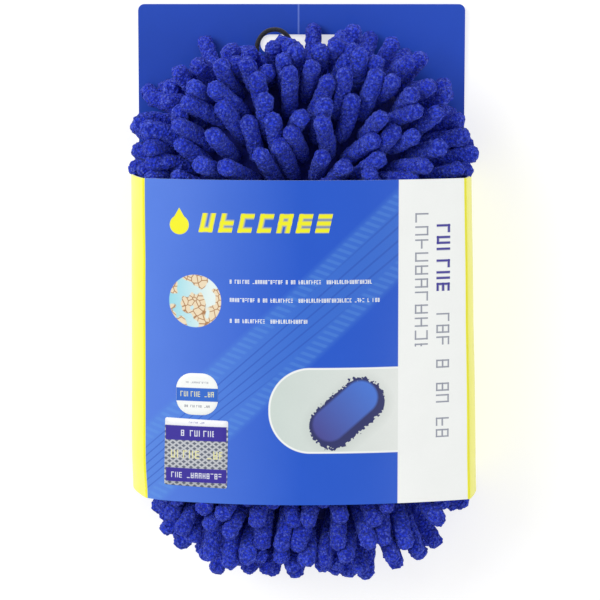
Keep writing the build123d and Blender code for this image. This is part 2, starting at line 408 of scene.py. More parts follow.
# %% Sleeve: thickness and hanging slot
SLOT_LENGTH, SLOT_HEIGHT, SLOT_BELOW_TOP = 32.0 * MM, 7.4 * MM, 11.8 * MM
sleeve = new_object("printed_sleeve", blank_mesh)
crease = sleeve.modifiers.new("creases", "BEVEL")
crease.width = 0.7 * MM
crease.segments = 3
crease.limit_method = "ANGLE"
crease.angle_limit = math.radians(35)
wall = sleeve.modifiers.new("card", "SOLIDIFY")
wall.thickness = CARD
wall.offset = 0
wall.material_offset = 1
wall.material_offset_rim = 2

slot_y = header_top - SLOT_BELOW_TOP - SLOT_HEIGHT / 2
slot_round = SLOT_HEIGHT / 2
slot_outline = []
for side in (1, -1):
    for angle in np.linspace(-math.pi / 2, math.pi / 2, 15):
        x = side * (SLOT_LENGTH / 2 - slot_round + slot_round * math.cos(angle))
        slot_outline.append((x, slot_y + side * slot_round * math.sin(angle)))
count = len(slot_outline)
cutter_points = [(x, y, z * MM) for z in (-3, 6) for x, y in slot_outline]
cutter_faces = [tuple(reversed(range(count))), tuple(range(count, 2 * count))]
cutter_faces += [(i, (i + 1) % count, count + (i + 1) % count, count + i) for i in range(count)]
cutter = new_object("slot_cutter", mesh_from("slot_cutter", cutter_points, cutter_faces, smooth=False))
cut = sleeve.modifiers.new("slot", "BOOLEAN")
cut.object = cutter
cut.operation = "DIFFERENCE"
cut.solver = "EXACT"

# %% [markdown]
# ## Printing on the card
#
# The print could be a picture, but then it would have one fixed sharpness. Here each printed
# shape is a rounded block whose edge is worked out in the material, from one node group that
# measures how far a point lies inside a rounded rectangle. Words are only hinted at with
# short strokes that spell nothing.

# %% Group: rounded block
block_group, nodes, given, result = new_group(
    "rounded block",
    [
        ("Float", "Across", 0.0),
        ("Float", "Up", 0.0),
        ("Float", "Middle across", 0.0),
        ("Float", "Middle up", 0.0),
        ("Float", "Half width", 5.0),
        ("Float", "Half height", 5.0),
        ("Float", "Corner", 1.0),
        ("Float", "Soft edge", 0.12),
    ],
    [("Float", "Mask")],
)
beyond = []
for place, middle, size in (("Across", "Middle across", "Half width"), ("Up", "Middle up", "Half height")):
    off = nodes.math("ABSOLUTE", nodes.math("SUBTRACT", given[place], given[middle]))
    beyond.append(nodes.math("SUBTRACT", off, nodes.math("SUBTRACT", given[size], given["Corner"])))
outside = [nodes.math("MAXIMUM", value, 0.0) for value in beyond]
diagonal = nodes.math("SQRT", nodes.math("ADD", *[nodes.math("MULTIPLY", v, v) for v in outside]))
inside = nodes.math("MINIMUM", nodes.math("MAXIMUM", *beyond), 0.0)
distance = nodes.math("SUBTRACT", nodes.math("ADD", diagonal, inside), given["Corner"])
soft = nodes.math("MULTIPLY", given["Soft edge"], -1.0)
mask = nodes.ramp(distance, soft, given["Soft edge"], 1.0, 0.0)
block_group.links.new(mask, result["Mask"])

# %% Group: line of hinted words
# Strokes in a box for each letter, some left out at random: it looks like print from afar and
# spells nothing.
words_group, nodes, given, result = new_group(
    "hinted words",
    [
        ("Float", "Along", 0.0),
        ("Float", "Up", 0.0),
        ("Float", "Start", 0.0),
        ("Float", "End", 10.0),
        ("Float", "Middle up", 0.0),
        ("Float", "Half height", 0.5),
        ("Float", "Letter", 1.0),
        ("Float", "Stroke", 0.3),
        ("Float", "Seed", 0.0),
    ],
    [("Float", "Mask")],
)
after_start = nodes.math("GREATER_THAN", given["Along"], given["Start"])
before_end = nodes.math("LESS_THAN", given["Along"], given["End"])
line = nodes.math("MULTIPLY", after_start, before_end)
letter = nodes.math("DIVIDE", nodes.math("SUBTRACT", given["Along"], given["Start"]), given["Letter"])
letter_number = nodes.math("ADD", nodes.math("FLOOR", letter), given["Seed"])
in_box = nodes.math("SUBTRACT", nodes.math("FRACT", letter), 0.5)
from_middle = nodes.math("MULTIPLY", in_box, given["Letter"])
from_line = nodes.math("SUBTRACT", given["Up"], given["Middle up"])
half_letter = nodes.math("MULTIPLY", given["Letter"], 0.36)
half_stroke = nodes.math("MULTIPLY", given["Stroke"], 0.5)
blur = nodes.math("MULTIPLY", given["Stroke"], 0.25)


def stroke_at(nodes, place, middle):
    """A stroke across one place."""
    off = nodes.math("ABSOLUTE", nodes.math("SUBTRACT", place, middle))
    low, high = nodes.math("SUBTRACT", half_stroke, blur), nodes.math("ADD", half_stroke, blur)
    return nodes.ramp(off, low, high, 1.0, 0.0)




def three_chances(nodes, number):
    """Three random values for one letter."""
    noise = nodes.make("ShaderNodeTexWhiteNoise", {"W": number}, out="Color", noise_dimensions="1D")
    return nodes.make("ShaderNodeSeparateColor", {"Color": noise}).node.outputs


random_a = three_chances(nodes, letter_number)
random_b = three_chances(nodes, nodes.math("ADD", letter_number, 50.5))
side = nodes.math("SUBTRACT", half_letter, half_stroke)
rise = nodes.math("SUBTRACT", given["Half height"], half_stroke)
bars = [
    (from_middle, nodes.math("MULTIPLY", side, -1.0), random_a[0], 0.12),
    (from_middle, side, random_a[1], 0.45),
    (from_line, rise, random_a[2], 0.40),
    (from_line, 0.0, random_b[0], 0.45),
    (from_line, nodes.math("MULTIPLY", rise, -1.0), random_b[1], 0.45),
]
letter_mask = 0.0
for place, middle, chance, least in bars:
    there = nodes.math("GREATER_THAN", chance, least)
    shown = nodes.math("MULTIPLY", stroke_at(nodes, place, middle), there)
    letter_mask = nodes.math("MAXIMUM", letter_mask, shown)
in_letter = nodes.math("LESS_THAN", nodes.math("ABSOLUTE", from_middle), half_letter)
in_height = nodes.math("LESS_THAN", nodes.math("ABSOLUTE", from_line), given["Half height"])
space = nodes.math("GREATER_THAN", random_b[2], 0.15)
box = nodes.math("MULTIPLY", in_letter, in_height)
box = nodes.math("MULTIPLY", box, nodes.math("MULTIPLY", space, line))
words_group.links.new(nodes.math("MULTIPLY", letter_mask, box), result["Mask"])


def block(nodes, across, up, left, right, low, high, corner=0.3, soft=0.12):
    """Mask of one printed block, from its sides in millimetres."""
    values = {
        "Across": across,
        "Up": up,
        "Middle across": (left + right) / 2,
        "Middle up": (low + high) / 2,
        "Half width": (right - left) / 2,
        "Half height": (high - low) / 2,
        "Corner": corner,
        "Soft edge": soft,
    }
    return nodes.group(block_group, values)


def words(nodes, along, up, start, end, middle, height, letter, seed, stroke=None):
    """Mask of one line of hinted words."""
    values = {
        "Along": along,
        "Up": up,
        "Start": start,
        "End": end,
        "Middle up": middle,
        "Half height": height / 2,
        "Letter": letter,
        "Stroke": stroke or 0.2 * letter,
        "Seed": seed,
    }
    return nodes.group(words_group, values)


# %% Group: card stock
# Fine mottle in the ink and a faint orange-peel in the varnish, used by every card face.
stock_group, nodes, given, result = new_group(
    "card stock",
    [("Vector", "Place", (0, 0, 0)), ("Color", "Ink", (1, 1, 1, 1)), ("Float", "Mottle", 0.04)],
    [("Color", "Color"), ("Float", "Relief")],
)
cloud = nodes.make("ShaderNodeTexNoise", {"Vector": given["Place"], "Scale": 60, "Detail": 3})
fibre = nodes.make("ShaderNodeTexNoise", {"Vector": given["Place"], "Scale": 1400, "Detail": 2})
both = nodes.weighted(cloud, 0.7, fibre, 0.3)
strength = nodes.math("MULTIPLY", nodes.math("SUBTRACT", both, 0.5), given["Mottle"])
bright = nodes.math("ADD", 1.0, nodes.math("MULTIPLY", strength, 2.0))
tinted = nodes.make("ShaderNodeVectorMath", {0: given["Ink"], "Scale": bright}, operation="SCALE")
stock_group.links.new(tinted, result["Color"])
stock_group.links.new(both, result["Relief"])



def card_places(nodes):
    """Object coordinates, and the same in millimetres across and up the pack."""
    place = nodes.make("ShaderNodeTexCoord", out="Object")
    split = nodes.make("ShaderNodeSeparateXYZ", {0: place}).node.outputs
    return place, nodes.math("MULTIPLY", split["X"], 1000.0), nodes.math("MULTIPLY", split["Y"], 1000.0)


# %% [markdown]
# ## Inks and the printed faces
#
# The outside of the blank is printed: blue front and back, yellow sides, a white stripe. The
# sides are coloured by the distance round the card, kept in an attribute, so the edge of the
# ink stays on the fold even where the card bows. A line in object space would cut across it.

# %% Inks
BLUE_INK = (0.014, 0.098, 0.610, 1)
PALE_INK_AND_PAINTED_SHEEN = (0.105, 0.235, 0.780, 1)
HEADER_INK = (0.010, 0.060, 0.480, 1)
YELLOW_INK = (0.900, 0.870, 0.016, 1)
WHITE_INK = (0.920, 0.940, 0.920, 1)
INDIGO_INK = (0.030, 0.020, 0.300, 1)
GREY_INK = (0.270, 0.290, 0.360, 1)

# %% Printed card: outside
# Places are in millimetres on the front panel, seen from above. FAR is past every edge of it.
FAR = 200
varnish = {"Specular_IOR_Level": 0.3, "Coat_Weight": 0.15, "Coat_Roughness": 0.16}
printed, nodes, shader = new_material("printed_card", **varnish)
place, across, up = card_places(nodes)
around = nodes.make("ShaderNodeAttribute", out="Fac", attribute_name="unrolled")
around = nodes.math("MULTIPLY", around, 1000.0)

# blue ground, a little paler towards the left: partly a paler print, partly a painted highlight of the card's
# sheen under the left light
ink = nodes.mix(nodes.ramp(across, -70.0, 0.0), PALE_INK_AND_PAINTED_SHEEN, BLUE_INK)

# broad slanting band of wavy lines with a row of strokes along each side
slant = math.radians(43.5)
along = nodes.weighted(across, math.cos(slant), up, math.sin(slant))
over = nodes.weighted(across, -math.sin(slant), up, math.cos(slant))
band = block(nodes, along, over, -FAR, FAR, -18.8, 6.0, corner=0.0, soft=1.2)
stroke = nodes.math("SINE", nodes.weighted(along, 2.2, over, 1.1))
edge_high = block(nodes, along, over, -FAR, FAR, 0.6, 5.4, corner=0.0, soft=0.5)
edge_low = block(nodes, along, over, -FAR, FAR, -18.2, -13.2, corner=0.0, soft=0.5)
strokes = nodes.math("MULTIPLY", nodes.math("MAXIMUM", edge_high, edge_low), nodes.ramp(stroke, -0.2, 0.5))
spread = nodes.math("DIVIDE", over, nodes.ramp(along, -60.0, 60.0, 0.72, 1.25))
groove = nodes.math("SINE", nodes.weighted(spread, 1.9, along, 0.05))
middle_band = block(nodes, along, over, -FAR, FAR, -12.6, 0.2, corner=0.0, soft=0.8)
grooves = nodes.math("MULTIPLY", middle_band, nodes.ramp(groove, 0.72, 0.97))
ink = nodes.mix(nodes.math("MULTIPLY", band, 0.24), ink, (0.110, 0.330, 0.780, 1))
ink = nodes.mix(nodes.math("MULTIPLY", strokes, 0.16), ink, (0.160, 0.420, 0.850, 1))
ink = nodes.mix(nodes.math("MULTIPLY", grooves, 0.55), ink, (0.018, 0.080, 0.470, 1))

# heading: a yellow water drop and a slanted word that spells nothing
drop_x = nodes.math("SUBTRACT", across, -45.6)
drop_y = nodes.math("SUBTRACT", up, 29.4)
taper = nodes.math("SUBTRACT", 3.3, nodes.math("MULTIPLY", drop_y, 0.57))
within = nodes.ramp(nodes.math("SUBTRACT", nodes.math("ABSOLUTE", drop_x), taper), -0.1, 0.1, 1.0, 0.0)
point = nodes.math("MULTIPLY", within, block(nodes, across, up, -50.0, -41.0, 29.9, 35.6, corner=0.2))
drop = nodes.math("MAXIMUM", point, block(nodes, across, up, -49.2, -42.0, 25.2, 32.4, corner=3.6))
ink = nodes.mix(drop, ink, YELLOW_INK)
leaning = nodes.math("SUBTRACT", across, nodes.math("MULTIPLY", nodes.math("SUBTRACT", up, 30.0), 0.22))
heading = words(nodes, leaning, up, -38.6, 12.0, 29.8, 7.2, 7.22, 105.0, stroke=1.9)
ink = nodes.mix(heading, ink, YELLOW_INK)

# round picture: soft buds on a pale sky
disc = block(nodes, across, up, -49.6, -30.0, -9.6, 10.2, corner=9.8)
buds = nodes.make("ShaderNodeTexVoronoi", {"Vector": place, "Scale": 420}, feature="DISTANCE_TO_EDGE")
sky = nodes.mix(nodes.ramp(across, -50.0, -34.0), (0.30, 0.70, 0.80, 1), (0.78, 0.90, 0.88, 1))
bud_area = nodes.make("ShaderNodeTexNoise", {"Vector": place, "Scale": 190, "Detail": 1})
bud_height = nodes.ramp(up, -9.0, 10.0, 0.16, -0.04)
bud_mask = nodes.ramp(nodes.math("ADD", bud_area, bud_height), 0.49, 0.53)
bud = nodes.mix(nodes.ramp(buds, 0.02, 0.10), (0.42, 0.20, 0.08, 1), (0.86, 0.72, 0.50, 1))
picture = nodes.mix(bud_mask, sky, bud)
ink = nodes.mix(disc, ink, picture)

# three lines of small white print
for number, (line_end, line_middle) in enumerate(((26.3, 7.95), (29.2, 1.06), (2.2, -6.8))):
    line = words(nodes, across, up, -26.9, line_end, line_middle, 1.5, 0.95, 11.0 * number + 3, stroke=0.26)
    ink = nodes.mix(line, ink, WHITE_INK)

# picture panel with a rounded left end: a blue pad on a pale wall
frame_mask = block(nodes, across, up, -12.4, 80.0, -56.6, -24.2, corner=15.6)
picture_mask = block(nodes, across, up, -11.7, 80.0, -55.9, -24.9, corner=14.9)
tilt = math.radians(41)
pad_x = nodes.math("SUBTRACT", across, 16.5)
pad_y = nodes.math("SUBTRACT", up, -40.5)
pad_long = nodes.weighted(pad_x, math.cos(tilt), pad_y, math.sin(tilt))
pad_wide = nodes.weighted(pad_y, math.cos(tilt), pad_x, -math.sin(tilt))
fringe_noise = nodes.make("ShaderNodeTexNoise", {"Vector": place, "Scale": 900, "Detail": 1})
fringe = nodes.math("MULTIPLY", nodes.math("SUBTRACT", fringe_noise, 0.5), 3.4)
shadow = block(nodes, pad_long, pad_wide, -16.5, 15.5, -11.0, 7.5, corner=8.0, soft=3.0)
fringe_long, fringe_wide = nodes.math("ADD", pad_long, fringe), nodes.math("ADD", pad_wide, fringe)
skirt = block(nodes, fringe_long, fringe_wide, -16, 15.5, -9.6, 7.6, corner=8.2)
top = block(nodes, pad_long, pad_wide, -14.2, 13.8, -6.2, 6.4, corner=6.2, soft=0.5)
wall_colour = nodes.mix(nodes.ramp(across, -10.0, 36.0), (0.62, 0.70, 0.66, 1), (0.80, 0.83, 0.80, 1))
wall_colour = nodes.mix(nodes.math("MULTIPLY", shadow, 0.35), wall_colour, (0.42, 0.46, 0.44, 1))
wall_colour = nodes.mix(skirt, wall_colour, (0.030, 0.035, 0.140, 1))
pad_shade = nodes.mix(nodes.ramp(pad_long, -14.0, 12.0), (0.070, 0.070, 0.300, 1), (0.070, 0.190, 0.680, 1))
wall_colour = nodes.mix(top, wall_colour, pad_shade)
ink = nodes.mix(frame_mask, ink, WHITE_INK)
ink = nodes.mix(picture_mask, ink, wall_colour)

# white stripe with three runs of hinted words that read downwards
stripe = block(nodes, across, up, 36.1, 90.0, -FAR, FAR, corner=0)
ink = nodes.mix(stripe, ink, WHITE_INK)
for start, end, middle_across, height, letter, colour, seed, stroke in (
    (-1.2, 33.9, 53.0, 5.2, 4.4, INDIGO_INK, 4.0, 1.0),
    (-51.7, -4.0, 53.0, 5.0, 4.4, GREY_INK, 21.0, 0.6),
    (-16.9, 33.9, 44.8, 5.0, 4.9, GREY_INK, 47.0, 0.6),
):
    down = nodes.math("MULTIPLY", up, -1.0)
    line = words(nodes, down, across, -end, -start, middle_across, height, letter, seed, stroke)
    ink = nodes.mix(line, ink, colour)

# yellow sides, blue back
front_half = (fold_at["right"] - front_middle) / MM
back_at = (fold_at["back_over"] - front_middle) / MM
side = nodes.ramp(nodes.math("ABSOLUTE", around), front_half - 0.9, front_half - 0.7)
back = nodes.ramp(nodes.math("ABSOLUTE", around), back_at - 0.2, back_at + 0.2)
ink = nodes.mix(side, ink, YELLOW_INK)
ink = nodes.mix(back, ink, HEADER_INK)
stock = nodes.group(stock_group, {"Place": place, "Ink": ink, "Mottle": 0.05})
relief = stock.node.outputs["Relief"]
bump = nodes.make("ShaderNodeBump", {"Height": relief, "Strength": 0.12, "Distance": 0.0002})
rough = nodes.ramp(relief, 0.3, 0.7, 0.28, 0.38)
feed(printed, shader, Base_Color=stock, Normal=bump, Roughness=rough)

# %% Printed card: inside
# The header's front is the blank's inner face, printed blue and painted darker towards the noodles as painted
# shade; lower down the board is bare.
inner, nodes, shader = new_material("card_inside", Roughness=0.45, Specular_IOR_Level=0.25, Coat_Weight=0.08)
place, across, up = card_places(nodes)
header_start = sleeve_top / MM - 14
# painted shade: the header's blue is darker lower down, towards the noodles
header_blue_and_painted_shade = nodes.mix(nodes.ramp(up, 60.0, 110.0), HEADER_INK, (0.016, 0.075, 0.520, 1))
lap_line = block(nodes, across, up, -1.5, -0.85, -FAR, FAR, corner=0, soft=0.1)
header_blue_and_painted_shade = nodes.mix(nodes.math("MULTIPLY", lap_line, 0.6), header_blue_and_painted_shade, (0.22, 0.32, 0.80, 1))
ink = nodes.mix(nodes.ramp(up, header_start, header_start + 0.3), (0.72, 0.72, 0.69, 1), header_blue_and_painted_shade)
stock = nodes.group(stock_group, {"Place": place, "Ink": ink, "Mottle": 0.07})
bump = nodes.make(
    "ShaderNodeBump", {"Height": stock.node.outputs["Relief"], "Strength": 0.15, "Distance": 0.0002}
)
feed(inner, shader, Base_Color=stock, Normal=bump)

# %% Raw card edge
# Cut card is white and a little furry.
raw_edge, nodes, shader = new_material("card_raw_edge", Roughness=0.9)
place = nodes.make("ShaderNodeTexCoord", out="Object")
stock = nodes.group(stock_group, {"Place": place, "Ink": (0.74, 0.77, 0.86, 1), "Mottle": 0.3})
feed(raw_edge, shader, Base_Color=stock)

for material in (printed, inner, raw_edge):
    blank_mesh.materials.append(material)
sleeve = plain_copy(sleeve, "printed_sleeve")
bpy.data.objects.remove(cutter)
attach(sleeve, "sleeve")
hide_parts("card_sleeve")
print("sleeve", len(sleeve.data.polygons), "faces")

# %% [markdown]
# ## Stickers
#
# Two small stickers sit on the front panel: a white one with very round corners and a square
# one of silver foil. Flat plates would float over the bowed card, so each is drawn as rings of
# its outline and dropped onto the card's real surface, then given its thickness.

# %% Stickers: shape
card_tree = BVHTree.FromObject(sleeve, bpy.context.evaluated_depsgraph_get())
LABEL_THICK, LABEL_GAP, ABOVE_CARD = 0.12 * MM, 0.02 * MM, 90 * MM


def sticker(name, width, height, corner, middle, turn, material):
    """A thin rounded sticker laid on the front panel; sizes in millimetres, turn in degrees."""
    points = []
    shrinks = (1.0, 0.8, 0.6, 0.4, 0.2)
    for shrink in shrinks:
        ring = []
        for quarter, (sx, sy) in enumerate(((1, 1), (-1, 1), (-1, -1), (1, -1))):
            for step in range(9):
                angle = math.radians(90 * quarter + 90 * step / 8)
                x = sx * (width / 2 - corner) + corner * math.cos(angle)
                y = sy * (height / 2 - corner) + corner * math.sin(angle)
                ring.append((x, y))
        full = []
        for (x0, y0), (x1, y1) in zip(ring, ring[1:] + ring[:1]):
            pieces = max(1, round(math.dist((x0, y0), (x1, y1)) / 1.2))
            for piece in range(pieces):
                share = piece / pieces
                full.append((x0 + (x1 - x0) * share, y0 + (y1 - y0) * share))
        count = len(full)
        angle = math.radians(turn)
        for x, y in full:
            x, y = x * shrink, y * shrink
            across = (middle[0] + x * math.cos(angle) - y * math.sin(angle)) * MM
            up = (middle[1] + x * math.sin(angle) + y * math.cos(angle)) * MM
            spot = card_tree.ray_cast(Vector((across, up, ABOVE_CARD)), Vector((0, 0, -1)))[0]
            points.append((across, up, spot.z + LABEL_GAP))
    faces = []
    last = len(shrinks) - 1
    for ring_number in range(last):
        for i in range(count):
            j = (i + 1) % count
            first, second = ring_number * count, (ring_number + 1) * count
            faces.append((first + i, first + j, second + j, second + i))
    faces.append(tuple(range(last * count, len(points))))
    made = new_object(name, mesh_from(name, points, faces), material)
    paper = made.modifiers.new("paper", "SOLIDIFY")
    paper.thickness = LABEL_THICK
    paper.offset = 1
    rim = made.modifiers.new("rim", "BEVEL")
    rim.width = 0.03 * MM
    rim.segments = 1
    return plain_copy(made, name)


# %% [markdown]
# ## What is on the stickers
#
# The white one has a blue bar, the foil one a fine hatch between two dark bars. Real security
# foil has a hologram; crossed sine waves that switch between metal tones look close from here.

# %% Stickers: print
white_label, nodes, shader = new_material("white_label", Roughness=0.35, Specular_IOR_Level=0.35)
place, across, up = card_places(nodes)
left, right, low = -47.1, -31.3, -42.8
blue_bar = block(nodes, across, up, left, right, low + 5.2, low + 10.2, corner=0)
ink = nodes.mix(blue_bar, WHITE_INK, (0.030, 0.140, 0.600, 1))
for inset, rise, height, letter, seed, colour in (
    (1.4, 7.9, 2.0, 1.3, 5.0, (0.85, 0.84, 0.45, 1)),
    (3.6, 12.3, 0.7, 0.6, 9.0, GREY_INK),
    (3.0, 3.3, 0.9, 0.75, 2.0, (0.12, 0.13, 0.20, 1)),
):
    line = words(nodes, across, up, left + inset, right - inset, low + rise, height, letter, seed)
    ink = nodes.mix(line, ink, colour)
feed(white_label, shader, Base_Color=nodes.group(stock_group, {"Place": place, "Ink": ink, "Mottle": 0.04}))

foil_label, nodes, shader = new_material("foil_label", Roughness=0.34)
place, across, up = card_places(nodes)
left, right, low, high = -51.65, -27.75, -70.15, -44.45
lines = []
for sign in (1.0, -1.0):
    slope = nodes.weighted(across, 2.3, up, sign * 3.1)
    lines.append(nodes.ramp(nodes.math("SINE", slope), 0.1, 0.6))
hatch = nodes.math("MAXIMUM", *lines)
ink = nodes.mix(hatch, (0.18, 0.20, 0.26, 1), (0.68, 0.70, 0.74, 1))
band_high = block(nodes, across, up, left + 0.4, right - 0.4, high - 8.2, high - 2.6, corner=0.2)
band_low = block(nodes, across, up, left + 0.4, right - 0.4, low + 1.6, low + 6.9, corner=0.2)
bands = nodes.math("MAXIMUM", band_high, band_low)
top_strip = block(nodes, across, up, left - 1, right + 1, high - 2.6, high + 1, corner=0)
ink = nodes.mix(bands, ink, (0.035, 0.018, 0.320, 1))
ink = nodes.mix(top_strip, ink, (0.85, 0.86, 0.90, 1))
pale = (0.80, 0.82, 0.90, 1)
ink = nodes.mix(words(nodes, across, up, left + 6.0, right - 5.2, high - 5.4, 2.3, 1.7, 3.0), ink, pale)
ink = nodes.mix(words(nodes, across, up, left + 2.2, right - 2.2, low + 4.2, 2.1, 1.5, 8.0), ink, pale)
ink = nodes.mix(words(nodes, across, up, left + 8.6, right - 8.6, high - 1.3, 0.6, 0.6, 4.0), ink, INDIGO_INK)
bar = words(nodes, across, up, left + 2.0, right - 2.0, (low + high) / 2 - 0.7, 3.0, 2.3, 6.0)
ink = nodes.mix(bar, ink, (0.78, 0.76, 0.38, 1))
printed_share = nodes.math("MAXIMUM", nodes.math("MAXIMUM", bands, top_strip), bar)
metal = nodes.ramp(printed_share, 0.0, 1.0, 0.75, 0.0)
feed(foil_label, shader, Base_Color=ink, Metallic=metal)

white_sticker = sticker("white_sticker", 15.8, 15.8, 6.0, (-39.2, -34.9), 0.0, white_label)
foil_sticker = sticker("foil_sticker", 23.9, 25.7, 0.8, (-39.7, -57.3), -1.2, foil_label)
for made, node, slot in ((white_sticker, "round_label", "paper_label"), (foil_sticker, "foil_label", "foil")):
    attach(made, "sleeve")
    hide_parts(node)
    print(made.name, len(made.data.polygons), "faces")

# %% [markdown]
# ## Glue
#
# A smear of hot glue joins the two back panels. It can't be seen with the pack closed, so the
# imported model's own strip keeps its shape and only gets a material.

# %% Glue
glue_material, nodes, shader = new_material("hot_glue", Roughness=0.3)
place = nodes.make("ShaderNodeTexCoord", out="Object")
smear = nodes.make("ShaderNodeTexNoise", {"Vector": place, "Scale": 240.0, "Detail": 2})
feed(glue_material, shader, Base_Color=nodes.mix(smear, (0.70, 0.62, 0.40, 1), (0.86, 0.82, 0.64, 1)))
glue = bpy.data.objects["glue_strip"]
glue.data.materials.clear()
glue.data.materials.append(glue_material)

# %% [markdown]
# ## Foam, cloths and the bound seam
#
# The real pad is a cut foam block. A smooth microfibre dish lies under it, a chenille cap goes
# over it, and a folded tape is sewn round the edge where the two meet. All four follow the
# same rounded outline, grown by different amounts, so one function gives every ring of points
# and a wall of faces is drawn between the rings.

# %% Rounded outline
MITT_Y = -4.2 * MM
FOAM_HALF_X, FOAM_HALF_Y, FOAM_CORNER = 43.0 * MM, 83.0 * MM, 22.0 * MM


def outline(grow, z, across=7, along=21, turn=10):
    """Points round the foam's outline, grown all round, at one height."""
    half_x, half_y = FOAM_HALF_X + grow, FOAM_HALF_Y + grow
    corner = max(FOAM_CORNER + grow, 1 * MM)
    points = []
    for side, (sx, sy) in enumerate(((1, 1), (-1, 1), (-1, -1), (1, -1))):
        for step in range(turn):
            angle = math.radians(90) * (side + step / turn)
            x = sx * (half_x - corner) + corner * math.cos(angle)
            y = sy * (half_y - corner) + corner * math.sin(angle)
            points.append((x, y, z))
        straight = across if side % 2 == 0 else along
        end = math.radians(90) * (side + 1)
        start_x = sx * (half_x - corner) + corner * math.cos(end)
        start_y = sy * (half_y - corner) + corner * math.sin(end)
        run_x = -2 * sx * (half_x - corner) if side % 2 == 0 else 0
        run_y = 0 if side % 2 == 0 else -2 * sy * (half_y - corner)
        for step in range(straight):
            points.append((start_x + run_x * step / straight, start_y + run_y * step / straight, z))
    return [(x, y + MITT_Y, z) for x, y, z in points]


def rounded_rings(grow, low, high, low_round, high_round, steps=6):
    """(grow, height) of the rings up a block with rounded low and high edges."""
    rings = []
    for step in range(steps + 1 if low_round else 0):
        angle = math.radians(90) * step / steps
        rings.append((grow - low_round * (1 - math.sin(angle)), low + low_round * (1 - math.cos(angle))))
    if not low_round:
        rings.append((grow, low))
    straight = high - low - low_round - high_round
    for step in range(1, 4 if straight > 3 * MM else 1):
        rings.append((grow, low + low_round + straight * step / 4))
    for step in range(steps + 1 if high_round else 1):
        angle = math.radians(90) * (step / steps if high_round else 1)
        rings.append((grow - high_round * (1 - math.cos(angle)), high - high_round * (1 - math.sin(angle))))
    return rings


def inward_rings(grow, z, steps=7):
    """Rings that close a flat face towards its middle."""
    deepest = -(FOAM_HALF_X - 4 * MM)
    shares = [step / steps for step in range(1, steps + 1)]
    return [(grow + (deepest - grow) * share, z) for share in shares]


def ring_wall(name, rings, close_first=False, close_last=False):
    """A smooth mesh through rings of the outline, with its ends closed where asked."""
    loops = [outline(grow, z) for grow, z in rings]
    count = len(loops[0])
    points = [point for loop in loops for point in loop]
    faces = []
    for ring in range(len(loops) - 1):
        for i in range(count):
            j = (i + 1) % count
            here, above = ring * count, (ring + 1) * count
            faces.append((here + i, here + j, above + j, above + i))
    if close_first:
        faces.append(tuple(reversed(range(count))))
    if close_last:
        faces.append(tuple(range((len(loops) - 1) * count, len(loops) * count)))
    return mesh_from(name, points, faces)


# %% [markdown]
# ## Foam core
#
# The foam gives the mitt its height, and it is cut, not moulded, so its faces are flat and its
# edges only rounded by the cover that squeezes them. A simulated cushion would swell where a
# cut block doesn't, so the block is drawn as rings of the outline.

# %% Foam core
foam_low, foam_high = (corner.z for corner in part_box("foam_core"))
FOAM_LOW_ROUND, FOAM_HIGH_ROUND = 4.5 * MM, 12.0 * MM
foam_material, nodes, shader = new_material("open_foam", Roughness=0.95)
place = nodes.make("ShaderNodeTexCoord", out="Object")
cells = nodes.make("ShaderNodeTexVoronoi", {"Vector": place, "Scale": 900}, out="Distance")
colour = nodes.mix(nodes.ramp(cells, 0.1, 0.7), (0.55, 0.50, 0.36, 1), (0.80, 0.76, 0.62, 1))
bump = nodes.make("ShaderNodeBump", {"Height": cells, "Strength": 0.5, "Distance": 0.0005})
feed(foam_material, shader, Base_Color=colour, Normal=bump)

rings = inward_rings(-FOAM_LOW_ROUND, foam_low)[::-1]
rings += rounded_rings(0.0, foam_low, foam_high, FOAM_LOW_ROUND, FOAM_HIGH_ROUND)
rings += inward_rings(-FOAM_HIGH_ROUND, foam_high)
foam = new_object("foam_block", ring_wall("foam_block", rings, True, True), foam_material)
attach(foam, "mitt")
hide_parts("foam_core")

# %% [markdown]
# ## The two cloths
#
# The back is a smooth microfibre cloth and the cap a knit that carries the noodles. Both are
# stretched over the foam, so each is a thin wall round its outline, thickened with Solidify.
# A draped simulation suits loose cloth; taut cloth has the shape of what is under it.

# %% Cloth group
# A knit is seen as rows of tiny raised loops; it is shared by the back, the cap and the tape.
knit_group, nodes, given, result = new_group(
    "knitted cloth",
    [
        ("Vector", "Place", (0, 0, 0)),
        ("Color", "Dark", (0.01, 0.01, 0.1, 1)),
        ("Color", "Light", (0.02, 0.03, 0.3, 1)),
        ("Float", "Loops a metre", 900.0),
    ],
    [("Color", "Color"), ("Float", "Relief")],
)
spots = {"Vector": given["Place"], "Scale": given["Loops a metre"]}
loops = nodes.make("ShaderNodeTexVoronoi", spots, out="Distance")
patch = nodes.make("ShaderNodeTexNoise", {"Vector": given["Place"], "Scale": 120, "Detail": 2})
share = nodes.math("ADD", nodes.ramp(loops, 0.7, 0.1, 0.0, 0.75), nodes.math("MULTIPLY", patch, 0.25))
knit_group.links.new(nodes.mix(share, given["Dark"], given["Light"]), result["Color"])
knit_group.links.new(nodes.math("SUBTRACT", 1.0, loops), result["Relief"])


def cloth(name, dark, light, loops, bump_strength, **finish):
    """A knitted cloth material."""
    made, nodes, shader = new_material(name, **finish)
    place = nodes.make("ShaderNodeTexCoord", out="Object")
    knit = nodes.group(knit_group, {"Place": place, "Dark": dark, "Light": light, "Loops a metre": loops})
    height = knit.node.outputs["Relief"]
    bump = nodes.make("ShaderNodeBump", {"Height": height, "Strength": bump_strength, "Distance": 0.0004})
    feed(made, shader, Base_Color=knit, Normal=bump)
    return made


def cut_size(grow, wall, edge_round):
    """Width and length of the flat cut for a face, its rounded edge and its wall."""
    beyond_face = wall + edge_round * math.pi / 2 - edge_round
    return [2 * (half + grow + beyond_face) for half in (FOAM_HALF_X, FOAM_HALF_Y)]


